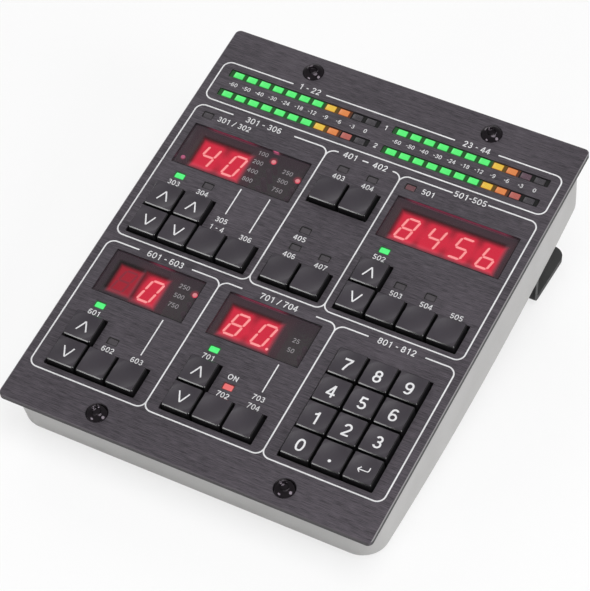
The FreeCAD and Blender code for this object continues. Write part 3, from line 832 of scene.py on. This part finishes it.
def model_key():
    half = key_size / 2
    key = block("key", (-half, -half, key_low), (half, half, key_high))
    pick(key, "edge", lambda at, along: abs(along.z) > 0.9)
    bpy.ops.mesh.bevel(offset=0.6 * mm, segments=5)
    pick(key, "face", lambda at, facing: facing.z > 0.9)
    taper = key_top / key_size
    bpy.ops.transform.resize(value=(taper, taper, 1), center_override=(0, 0, key_high * mm))
    pick(key, "edge", lambda at, along: at.z > key_high - 0.01 and abs(along.z) < 0.1)
    bpy.ops.mesh.bevel(offset=0.3 * mm, segments=1)
    pick(key, "face", lambda at, facing: facing.z < -0.9)
    bpy.ops.mesh.inset(thickness=key_wall * mm)
    bpy.ops.mesh.extrude_region_move(TRANSFORM_OT_translate={"value": (0, 0, key_hollow * mm)})
    close(key)
    bpy.ops.object.select_all(action="DESELECT")
    centre = (0, 0, (key_high - key_dish + dish_radius) * mm)
    radius = dish_radius * mm
    bpy.ops.mesh.primitive_uv_sphere_add(segments=64, ring_count=128, radius=radius, location=centre)
    lens = added("dish_cutter")
    whole(lens)
    above = (0, 0, (key_high + 0.3) * mm)
    bpy.ops.mesh.bisect(plane_co=above, plane_no=(0, 0, 1), clear_outer=True, use_fill=True)
    close(lens)
    modify(key, "BOOLEAN", operation="DIFFERENCE", solver="EXACT", object=lens)
    discard(lens)
    stem = rod("stem", 1.5, stem_low, 0.4, 24)
    modify(stem, "BEVEL", width=0.2 * mm, segments=2, limit_method="ANGLE", angle_limit=math.radians(50))
    return smooth(joined([key, stem], "key_pattern"), 30)


key_pattern = model_key()
print("one key has", len(key_pattern.data.polygons), "faces")

# %% Copy it to every place
key_nodes = sorted(node for node in frame["nodes"] if node.startswith("key_") and node != "key_switches")
key_places = {}
for node in key_nodes:
    low, high = on_panel(node)
    key_places[node] = ((low.x + high.x) / 2, (low.y + high.y) / 2)
    cap = copied(key_pattern, node + "_cap", moved(*key_places[node]))
    dress(cap, key_finish, node, "key_plastic", node)
discard(key_pattern)
print(len(key_places), "keys placed")

# %% [markdown]
# ## A pen for all marks
# The real unit has many printed words, which are left out. What is generic stays: the scale of the meters,
# the digits and arrows of the keys, and plain numbers in place of the section titles and of the names by
# the keys. A pen draws them all. Its nib is a short edge, a straight run extrudes it, and a turn spins it
# about a centre at its left or right, so every stroke is a flat ribbon of even width, as in a plain sans
# face.

# %% The pen
nib = 0.67
ink_height = 0.03


def stroke(start, heading, moves, width=nib):
    """A raised ribbon. A number in moves is a run, and a pair is a radius and a turn in degrees."""
    at = Vector((*start, 0))
    angle = math.radians(heading)
    ahead = Vector((math.cos(angle), math.sin(angle), 0))
    bpy.ops.object.select_all(action="DESELECT")
    middle = (at + ahead * width / 2) * mm
    bpy.ops.mesh.primitive_plane_add(size=width * mm, location=middle, rotation=(0, 0, angle))
    ribbon = added("stroke")
    pick(ribbon, "corner", lambda corner, facing: (corner - at).dot(ahead) > 0.1 * width)
    bpy.ops.mesh.delete(type="VERT")
    bpy.ops.mesh.select_all(action="SELECT")
    for move in moves:
        if isinstance(move, tuple):
            radius, degrees = move
            left = Vector((-math.sin(angle), math.cos(angle), 0))
            centre = at + left * math.copysign(radius, degrees)
            turn = math.radians(degrees)
            steps = max(2, round(abs(degrees) / 15))
            bpy.ops.mesh.spin(steps=steps, angle=-turn, center=centre * mm, axis=(0, 0, 1))
            at = centre + Matrix.Rotation(turn, 3, "Z") @ (at - centre)
            angle += turn
        else:
            parts = math.ceil(move / 0.8)
            hop = Vector((math.cos(angle), math.sin(angle), 0)) * move / parts
            for part in range(parts):
                bpy.ops.mesh.extrude_region_move(TRANSFORM_OT_translate={"value": hop * mm})
            at += hop * parts
    bpy.ops.mesh.select_all(action="SELECT")
    bpy.ops.mesh.remove_doubles(threshold=0.001 * mm)
    return thicken(ribbon, ink_height)


test_stroke = stroke((0, 0), 0, [2, (1, 90)])
print("a run of 2 and a quarter turn measure", [round(size / mm, 2) for size in test_stroke.dimensions])
discard(test_stroke)

# %% [markdown]
# ## The digits
# Each sign is drawn once, 4.75 mm high as on the keypad, as a list of strokes with a start, a heading and
# moves. The nine is the six turned round. Smaller numbers are copies of these, shrunk to their height.

# %% Signs as pen moves
sign_height = 4.75
half_height = (sign_height - nib) / 2
foot = -sign_height / 2
six = [((-1.14, -0.875), 90, [0.9, (3.6, -22), (1.02, -123)])]
six += [((1.14, -0.875), 90, [(1.14, 180), (1.14, 180)])]
signs = {
    "0": [((0.93, -1.39), 67.7, [(3.68, 44.5), (1.0, 135.5)] * 2)],
    "1": [((0.35, foot), 90, [sign_height]), ((-0.95, 1.3), 10, [0.3, (1.1, 50)])],
    "2": [((-1.09, 1.07), 82, [(1.1, -214), 2.87]), ((-1.35, -half_height), 0, [2.6])],
    "3": [((-0.9, 1.4), 70, [(0.935, -250), 0.35]), ((-0.02, 0.155), 0, [(1.085, -250)])],
    "4": [((0.55, foot), 90, [sign_height]), ((0.45, 2.2), -119.4, [3.56]), ((-1.6, -1.05), 0, [3.15])],
    "5": [
        ((1.15, half_height), 180, [2.2]), ((-0.78, 1.95), -97, [1.85]),
        ((-0.84, -0.035), 45, [(1.16, -290)]),
    ],
    "6": six,
    "7": [((-1.5, half_height), 0, [3.0]), ((1.2, 1.8), -133, [(6.5, 35), 0.62])],
    "8": [((0.95, 1.065), 90, [(0.95, 180), (0.95, 180)]), ((1.12, -0.895), 90, [(1.12, 180), (1.12, 180)])],
    "9": six,
    "-": [((-0.8, -0.1), 0, [1.6])],
    "/": [((-0.95, foot), 68.2, [5.12])],
    "O": [((1.23, -1.44), 50.3, [(2.25, 79.4), (1.6, 100.6)] * 2)],
    "N": [
        ((-1.3, foot), 90, [sign_height]), ((1.3, foot), 90, [sign_height]),
        ((-1.3, 2.2), -59.4, [5.11]),
    ],
}
advance = {"-": 2.4, "/": 2.8, " ": 1.7, "O": 4.7, "N": 4.4}
patterns = {sign: joined([stroke(*part) for part in strokes], "sign") for sign, strokes in signs.items()}
patterns["9"].data.transform(Matrix.Rotation(math.pi, 4, "Z"))


def number(words, x, y, height, align=0.5):
    """A row of signs. Height is that of a digit, and align is the share of the row to the left of x."""
    size = height / sign_height
    widths = [advance.get(sign, 3.6) * size for sign in words]
    left = x - align * sum(widths)
    row = []
    for sign, width in zip(words, widths):
        if sign in patterns:
            row.append(copied(patterns[sign], "sign", moved(left + width / 2, y) @ Matrix.Scale(size, 4)))
        left += width
    return joined(row, "number")


print("signs drawn:", len(patterns))

# %% [markdown]
# ## Legends on the keys
# The digits and arrows are printed on the dished tops and move with their keys. Each is laid flat at first,
# and then every corner of its mesh sinks to the dish's level under it, so the print follows the surface.
# The wide key that confirms an entry has a return arrow.

# %% Print the keys
def legend(node, piece):
    for corner in piece.data.vertices:
        corner.co.z += dish_level(corner.co.x / mm, corner.co.y / mm) * mm
    piece.data.transform(moved(*key_places[node]))
    piece.name = node.replace("key_", "legend_")
    dress(piece, ink_finish, node, "key_plastic")


for digit in range(10):
    legend("key_digit_%d" % digit, number(str(digit), 0, -0.3, sign_height))
arrow_width, arrow_height = 3.7, 3.9
steepness = math.degrees(math.atan2(arrow_height, arrow_width / 2))
arm = math.hypot(arrow_height, arrow_width / 2)
for section in ("speed", "depth", "time", "feedback", "preset"):
    for word, sign in (("up", 1), ("down", -1)):
        starts = [(side * arrow_width / 2, -sign * arrow_height / 2) for side in (-1, 1)]
        headings = [sign * steepness, sign * (180 - steepness)]
        arms = [stroke(start, heading, [arm], 0.5) for start, heading in zip(starts, headings)]
        legend("key_%s_%s" % (section, word), joined(arms, "arrow"))
legend("key_point", rod("point", 0.55, 0, ink_height, 20, 0, -1.75))
hook = [stroke((2.1, 1.2), -90, [1.1, (0.6, -90), 3.2], 0.36)]
hook += [stroke((-0.7, -0.5 + side * 1.0), 180 + side * 45, [1.35], 0.36) for side in (-1, 1)]
legend("key_enter", joined(hook, "return_arrow"))
print("legends printed")

# %% [markdown]
# ## White lines round the sections
# Each section has a frame of white ink with rounded corners, open where its title stands. A frame is a
# plane whose corners are rounded by a bevel and whose middle goes after an inset, so a ring of even width
# is left. Two cuts free the piece of the ring under the title. Neighbours share a line, so each second
# frame is a little thicker, and no two top faces lie at the same height.

# %% Frames and guide lines
line_width = 0.5
frame_radius = 3.2


def flat_ring(name, left, right, front, back, corner, segments, width):
    """A flat ring with rounded corners between its outer sides, in millimetres."""
    ring = sheet(name, left, right, front, back)
    middle = Vector(((left + right) / 2, (front + back) / 2, 0))
    pick(ring, "corner", lambda at, facing: True)
    bpy.ops.mesh.bevel(offset=corner * mm, segments=segments, affect="VERTICES")
    whole(ring)
    bpy.ops.mesh.inset(thickness=width * mm)
    pick(ring, "face", lambda at, facing: (at - middle).length < 0.01)
    bpy.ops.mesh.delete(type="FACE")
    return ring


def ink_frame(left, right, front, back, gaps, height=ink_height):
    """A frame of ink about the middle of its line, open at the gaps in its back side."""
    rim = line_width / 2
    outer = (left - rim, right + rim, front - rim, back + rim)
    ring = flat_ring("frame", *outer, frame_radius, 10, line_width)
    for start, end in gaps:
        for x in (start, end):
            whole(ring)
            bpy.ops.mesh.bisect(plane_co=(x * mm, 0, 0), plane_no=(1, 0, 0))
        pick(ring, "face", lambda at, facing: start < at.x < end and at.y > back - 1)
        bpy.ops.mesh.delete(type="FACE")
    return thicken(ring, height)


frames = [
    ink_frame(-64.2, 64.2, 51.95, 69.2, [(-38.0, -25.2), (23.8, 40.0)]),
    ink_frame(-64.2, -13.87, -11.3, 48.8, [(-50.8, -27.2)]),
    ink_frame(-13.87, 13.87, -11.3, 48.8, [(-10.2, -1.1), (1.1, 10.2)], 1.2 * ink_height),
    ink_frame(13.87, 64.2, -11.3, 48.8, [(32.6, 45.7)]),
    ink_frame(-64.2, -21.43, -69.1, -14.55, [(-52.8, -32.8)]),
    ink_frame(-21.43, 21.43, -69.1, -14.55, [(-13.8, 13.5)], 1.2 * ink_height),
    ink_frame(21.43, 64.2, -69.1, -14.55, [(32.6, 53.0)]),
]
guides = [(-33.3, 10.1, 21.6), (-22.3, 6.4, 21.6), (-31.8, -51.4, -36.2), (11.0, -47.8, -36.2)]
frames += [thicken(sheet("guide", x - 0.22, x + 0.22, front, back), ink_height) for x, front, back in guides]
dress(joined(frames, "printed_lines"), ink_finish, "base", "plate_finish")
print("lines printed")

# %% [markdown]
# ## Numbers on the plate
# The meter scale runs from -60 to 0 between its two rows of lenses. The meters are titled with the numbers
# of their lenses and the sections with the numbers of their keys. Most keys have a number of their own, the
# two rows of lenses are marked 1 and 2, and the red lamp is marked ON.

# %% Scale, titles and key numbers
lens_places = places_of("meter_lenses")
scale_numbers = ("-60", "-50", "-40", "-30", "-24", "-18", "-12", "-9", "-6", "-3", "0")
numbers = [number(words, place.x, 60.6, 1.65) for words, place in zip(scale_numbers * 2, lens_places)]
titles = {
    "1 - 22": (-31.6, 69.3), "23 - 44": (31.9, 69.3), "301 - 306": (-39.0, 48.85), "401": (-5.6, 48.85),
    "402": (5.6, 48.85), "501-505": (39.15, 48.85), "601 - 603": (-42.8, -14.5), "701 / 704": (-0.15, -14.5),
    "801 - 812": (42.8, -14.5),
}
numbers += [number(words, x, y, 2.4) for words, (x, y) in titles.items()]
second_titles = {"301 / 302": (-55.0, 45.2), "501": (22.8, 45.2)}
numbers += [number(words, x, y, 2.2, 0) for words, (x, y) in second_titles.items()]
key_numbers = {
    "303": (-55.7, 14.8), "304": (-44.7, 14.8), "305": (-33.3, 7.3), "1 - 4": (-33.3, 3.8),
    "306": (-22.4, 3.8),
    "403": (-5.4, 39.35), "404": (5.5, 39.35), "405": (-5.8, 11.3), "406": (-5.9, 3.8), "407": (5.8, 3.8),
    "502": (21.9, 14.8), "503": (33.4, 3.8), "504": (44.4, 3.8), "505": (55.4, 3.8),
    "601": (-54.1, -42.9), "602": (-42.8, -53.9), "603": (-31.9, -53.9),
    "701": (-11.3, -42.9), "ON": (-0.1, -46.75), "702": (-0.2, -53.9),
    "703": (11.0, -50.3), "704": (11.0, -53.9),
}
numbers += [number(words, x, y, 2.05) for words, (x, y) in key_numbers.items()]
numbers += [number("1", 0.0, 64.7, 2.0), number("2", 0.0, 56.4, 2.0)]
dress(joined(numbers, "printed_numbers"), ink_finish, "base", "plate_finish")
print("numbers printed:", len(numbers))

# %% [markdown]
# ## Level meters
# Each row is a dark bar with a pocket for every lens. The bar is a CAD node whose shape is right, so it
# only gets a finish. A lens is a small block with a softened rim. One is modelled and copied, and the
# lenses of one colour are joined. The colours stand below in reading order, as the photograph shows them.
# The helper that spreads the copies serves the lamps and the small round lamps too.

# %% Lenses
def model_lens(name, width, depth, low, high, corner, rim):
    """A block with rounded upright edges and a softened rim, in millimetres."""
    lens = block(name, (-width / 2, -depth / 2, low), (width / 2, depth / 2, high))
    pick(lens, "edge", lambda at, along: abs(along.z) > 0.9)
    bpy.ops.mesh.bevel(offset=corner * mm, segments=3)
    pick(lens, "edge", lambda at, along: at.z > high - 0.01 and abs(along.z) < 0.1)
    bpy.ops.mesh.bevel(offset=rim * mm, segments=3)
    return smooth(close(lens), 40)


def spread(pattern, name, places, colours, finishes, slot, node):
    """Copy a pattern to its places, join the copies of each colour, and dress them."""
    groups = {}
    for place, colour in zip(places, colours):
        groups.setdefault(colour, []).append(copied(pattern, "copy", moved(place.x, place.y)))
    discard(pattern)
    for colour, copies in groups.items():
        dress(joined(copies, name + "_" + colour), finishes[colour], "base", slot, node)
    print(name, {colour: len(copies) for colour, copies in groups.items()})


lens_finishes = {
    "green": green_finish, "yellow": yellow_finish, "orange": orange_finish,
    "ember": ember_finish, "dim": dim_lens_finish, "dark": dark_lens_finish,
}
lit_lenses = ["green"] * 7 + ["yellow", "orange"]
meter_colours = lit_lenses + ["dark", "dark"] + lit_lenses + ["dim", "dark"]
meter_colours += 2 * (lit_lenses + ["ember", "dark"])
lens_low, lens_high = (corner.z for corner in on_panel("meter_lenses"))
lens = model_lens("lens", 3.7, 2.5, lens_low, lens_high, 0.3, 0.4)
spread(lens, "meter_lenses", lens_places, meter_colours, lens_finishes, "meter_lens", "meter_lenses")

# %% [markdown]
# ## Indicator lamps
# Sixteen small lamps fill their openings in the plate. Each lamp stands in a thin rim of the black part
# that holds it, which is a flat ring like a printed frame, only thicker. Four lamps are green and one is
# red, one glimmers brown, and the others are off and nearly as dark as the plate, so that only their rims
# show. The rim of a lit lamp has a faint painted glow of its light.

# %% Lamps
lamp_colours = (
    "dark brown dark dark "
    "green dark green dark dark dark dark dark "
    "green green dark red"
).split()
lamp_finishes = {
    "green": green_lamp_finish, "red": red_lamp_finish,
    "brown": brown_lamp_finish, "dark": dark_lamp_finish,
}
lamp_low, lamp_high = (corner.z for corner in on_panel("indicator_lamps"))
lamp_places = places_of("indicator_lamps")
lamp = model_lens("lamp", 3.42, 2.22, lamp_low, lamp_high, 0.4, 0.25)
spread(lamp, "lamps", lamp_places, lamp_colours, lamp_finishes, "lamp_lens", "indicator_lamps")


def model_lamp_rim():
    """The black edge of the part that holds a lamp, which fills the rest of the opening."""
    rim = thicken(flat_ring("lamp_rim", -1.99, 1.99, -1.39, 1.39, 0.39, 4, 0.27), 1.2)
    rim.data.transform(moved(0, 0, lamp_high - 1.2))
    return rim


# A lit lamp's rim gets a painted glow of its light, and an unlit one is plain black.
rim_finishes = {
    "green": green_rim_glow_finish, "red": red_rim_glow_finish,
    "brown": rubber_finish, "dark": rubber_finish,
}
lamp_rim = model_lamp_rim()
spread(lamp_rim, "lamp_rims", lamp_places, lamp_colours, rim_finishes, "lamp_lens", "indicator_lamps")

# %% [markdown]
# ## Digit displays
# A display module is a block with a red face and seven bars to a digit. The bars lean to the right. Here
# the block is the CAD node, and the bars are thin pieces on its face: the lit ones glow nearly white
# through the red, and an idle digit shows its bars as a faint eight. A bar is a plane whose ends are cut to
# points by a bevel.

# %% Digits
digit_height, digit_width, lean, segment_width = 8.6, 4.3, 0.205, 0.85
half, side = digit_height / 2, digit_width / 2
bars = {
    "a": ((-side, half), (side, half)), "g": ((-side, 0), (side, 0)), "d": ((-side, -half), (side, -half)),
    "f": ((-side, 0), (-side, half)), "b": ((side, 0), (side, half)),
    "e": ((-side, -half), (-side, 0)), "c": ((side, -half), (side, 0)),
}
shapes = {"0": "abcdef", "4": "bcfg", "5": "acdfg", "6": "cdefg", "8": "abcdefg"}


def model_bar(start, end):
    """A pointed bar from one place to another."""
    start, end = Vector(start), Vector(end)
    reach = (end - start).length / 2 - 0.12
    piece = sheet("segment", -reach, reach, -segment_width / 2, segment_width / 2)
    pick(piece, "corner", lambda at, facing: True)
    bpy.ops.mesh.bevel(offset=segment_width * 0.499 * mm, segments=1, affect="VERTICES")
    bpy.ops.object.mode_set(mode="OBJECT")
    thicken(piece, 0.05)
    run = end - start
    piece.data.transform(moved(*(start + end) / 2) @ Matrix.Rotation(math.atan2(run.y, run.x), 4, "Z"))
    return piece


def model_digit(shape, x, y):
    """The bars of one digit, leaning to the right."""
    digit = joined([model_bar(*bars[letter]) for letter in shapes[shape]], "digit")
    tilt = Matrix.Identity(4)
    tilt[0][1] = lean
    digit.data.transform(moved(x, y, face_level) @ tilt)
    return digit


lit = [model_digit(*digit) for digits in readings.values() for digit in digits]
lit.append(rod("decimal_point", 0.5, face_level, face_level + 0.05, 16, 3.5, -30.9))
dress(joined(lit, "lit_segments"), segment_finish, "base", "display_module")
idle = model_digit("8", *idle_place)
idle.name = "idle_segments"
dress(idle, idle_segment_finish, "base", "display_module")
print("lit pieces:", len(lit))

# %% [markdown]
# ## Small round lamps and numbers in the windows
# Beside the digits, the windows have rows of numbers, each with a small round lamp that shows which one is
# chosen. The numbers are printed in grey on the face of the pane. The lamps are rods with a domed top, and
# four of them are lit, one of them faintly.

# %% Dots and window numbers
def model_dot():
    low, high = (corner.z for corner in on_panel("dot_leds"))
    dot = rod("dot", 0.9, low, high, 20)
    pick(dot, "edge", lambda at, along: at.z > high - 0.01 and abs(along.z) < 0.1)
    bpy.ops.mesh.bevel(offset=0.55 * mm, segments=4)
    return smooth(close(dot), 40)


dot_places = places_of("dot_leds")
dot_states = "lit dark lit dark dark dim dark dark lit dark dark dark dark".split()
dot_finishes = {"lit": dot_finish, "dim": dim_dot_finish, "dark": dark_lens_finish}
spread(model_dot(), "dots", dot_places, dot_states, dot_finishes, "red_lamp", "dot_leds")
rows = [
    ("100", -31.7, 38.3), ("200", -31.7, 34.35), ("400", -31.7, 30.4), ("800", -31.7, 26.45),
    ("250", -20.3, 34.35), ("500", -20.3, 30.4), ("750", -20.3, 26.45),
    ("250", -29.9, -21.4), ("500", -29.9, -25.35), ("750", -29.9, -29.3),
    ("25", 13.0, -25.35), ("50", 13.0, -29.3),
]
window_numbers = [number(words, x, y, 1.75, 1) for words, x, y in rows]
pane_top = on_panel("window_time")[1].z
for piece in window_numbers:
    piece.data.transform(moved(0, 0, pane_top + 0.01))
dress(joined(window_numbers, "window_numbers"), grey_ink_finish, "base", "smoked_window")
for pattern in patterns.values():
    discard(pattern)
print("window numbers:", len(rows))

# %% [markdown]
# ## Button-head screws
# The four screws through the plate have domed black heads with a hexagon socket. The dome is the cap of a
# ball cut off at the plate, the socket is cut by a six-sided rod, and a cone widens its mouth to a funnel.
# A bevel softens all the edges, which catch the light.

# %% Screws
def model_screw():
    head_radius, head, socket_radius, socket_depth = 3.8, on_panel("plate_screws")[1].z, 1.45, 1.3
    ball = (head_radius ** 2 + head ** 2) / (2 * head)
    bpy.ops.object.select_all(action="DESELECT")
    centre = (0, 0, (head - ball) * mm)
    bpy.ops.mesh.primitive_uv_sphere_add(segments=48, ring_count=48, radius=ball * mm, location=centre)
    button = added("button")
    whole(button)
    bpy.ops.mesh.bisect(plane_co=(0, 0, 0.02 * mm), plane_no=(0, 0, 1), clear_inner=True, use_fill=True)
    close(button)
    hexagon = rod("hexagon", socket_radius, head - socket_depth, head + 1, 6)
    modify(button, "BOOLEAN", operation="DIFFERENCE", solver="EXACT", object=hexagon)
    discard(hexagon)
    funnel = rod("funnel", socket_radius - 0.25, head - 0.9, head + 0.2, 48)
    pick(funnel, "face", lambda at, facing: facing.z > 0.9)
    widening = 2.8 / (socket_radius - 0.25)
    bpy.ops.transform.resize(value=(widening, widening, 1), center_override=(0, 0, 0))
    bpy.ops.object.mode_set(mode="OBJECT")
    modify(button, "BOOLEAN", operation="DIFFERENCE", solver="EXACT", object=funnel)
    discard(funnel)
    modify(button, "BEVEL", width=0.10 * mm, segments=2, limit_method="ANGLE", angle_limit=math.radians(40))
    return smooth(joined([button, rod("shank", 1.95, -9, 0.01, 24)], "screw_pattern"), 35)


screw_pattern = model_screw()
screws = []
for place in screw_places:
    turn = Matrix.Rotation(0.02 * place.x + 0.01 * place.y, 4, "Z")
    screws.append(copied(screw_pattern, "screw", moved(place.x, place.y) @ turn))
discard(screw_pattern)
dress(joined(screws, "button_head_screws"), black_screw_finish, "base", "black_screw", "plate_screws")
print("screws placed:", len(screws))

# %% [markdown]
# ## Finishes of the CAD nodes that stay
# The plate, the tray, the stand, the panes and the pieces inside have the right shapes already. They stay
# as they are and get a finish of their own in place of the plain colour that they came with.

# %% Paint the CAD nodes
node_finishes = {
    "top_plate": plate_finish, "housing": tray_finish, "screw_inserts": brass_finish,
    "key_switches": switch_finish, "meter_carriers": carrier_finish,
    "two_digit_displays": module_finish, "four_digit_display": module_finish,
    "main_board": board_finish, "board_standoffs": steel_finish, "board_screws": steel_finish,
    "control_chips": chip_finish, "usb_socket": steel_finish, "stand_bracket": stand_finish,
    "stand_screws": black_screw_finish, "stand_pads": rubber_finish, "front_feet": rubber_finish,
}
for node in readings:
    node_finishes[node] = pane_finish
for node, material in node_finishes.items():
    mesh = frame["nodes"][node].data
    mesh.materials.clear()
    mesh.materials.append(material)
print("painted", len(node_finishes), "CAD nodes")

# %% [markdown]
# ## Floor, backdrop and light
# The photograph is a cut-out on white with soft studio light. A pale floor keeps a soft shadow, and a share
# of plain white that only the camera sees lifts the rest of the floor to the white of the page. The world
# is white to the camera and about a third as bright to everything else, so it fills the shadows. A large
# lamp above gives the plate its soft sheen. The lamp at the left front stands where the chamfers along the
# front of the keys mirror it, so it draws their bright lines. The lamp behind stays out of the panes'
# mirror direction, or it would turn them grey.

# %% Floor
def studio_floor():
    finish = Finish("studio_floor", Roughness=0.9)
    mottle = finish.noise(finish.place(), 0.01)
    share = finish.node("LightPath", {}, {}, "Is Camera Ray") * 0.74
    paint = Value(finish, finish.shader.outputs["BSDF"])
    white = finish.node("Emission", {}, {"Color": grey(1.0)})
    blend = finish.node("MixShader", {}, {0: share, 1: paint, 2: white})
    finish.feed(finish.tree.nodes["Material Output"].inputs["Surface"], blend)
    return finish.surface(Base_Color=finish.mix(mottle, grey(0.84), grey(0.86)))


bpy.ops.object.select_all(action="DESELECT")
bpy.ops.mesh.primitive_plane_add(size=8, location=(0, 0, -0.00002))
floor = added("floor")
floor.data.materials.append(studio_floor())
floor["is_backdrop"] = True
print("floor laid")

# %% World and lamps
unit_middle = Vector((0, 0, 0.02))


def soft_lamp(name, place, width, height, power):
    """A soft lamp of a width and a height in metres, turned to the unit."""
    bpy.ops.object.light_add(type="AREA", location=place)
    lamp = bpy.context.object
    lamp.name = name
    lamp.data.shape = "ELLIPSE"
    lamp.data.size = width
    lamp.data.size_y = height
    lamp.data.energy = power
    lamp.rotation_euler = (unit_middle - Vector(place)).to_track_quat("-Z", "Y").to_euler()
    return lamp


world = Finish("studio", bpy.data.worlds, "Background", Color=grey(1.0))
seen = world.node("LightPath", {}, {}, "Is Camera Ray")
bpy.context.scene.world = world.surface(Strength=seen.at_least(0.36))
soft_lamp("right_light", (1.0, -0.22, 0.62), 0.5, 0.5, 4.5)
soft_lamp("left_front_light", (-0.50, -1.10, 0.46), 0.46, 0.3, 2.4)
soft_lamp("back_light", (-0.80, 0.82, 0.55), 0.8, 0.8, 4)
soft_lamp("top_light", (0.35, -0.20, 1.38), 1.0, 1.0, 10.5)
print("lamps placed")

# %% [markdown]
# ## Measure the size
# The dressed object should stay within the CAD model's box, so its box is measured and printed.

# %% Measure and finish
low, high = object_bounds()
print("visual box in mm:", [round(size / mm, 1) for size in high - low])
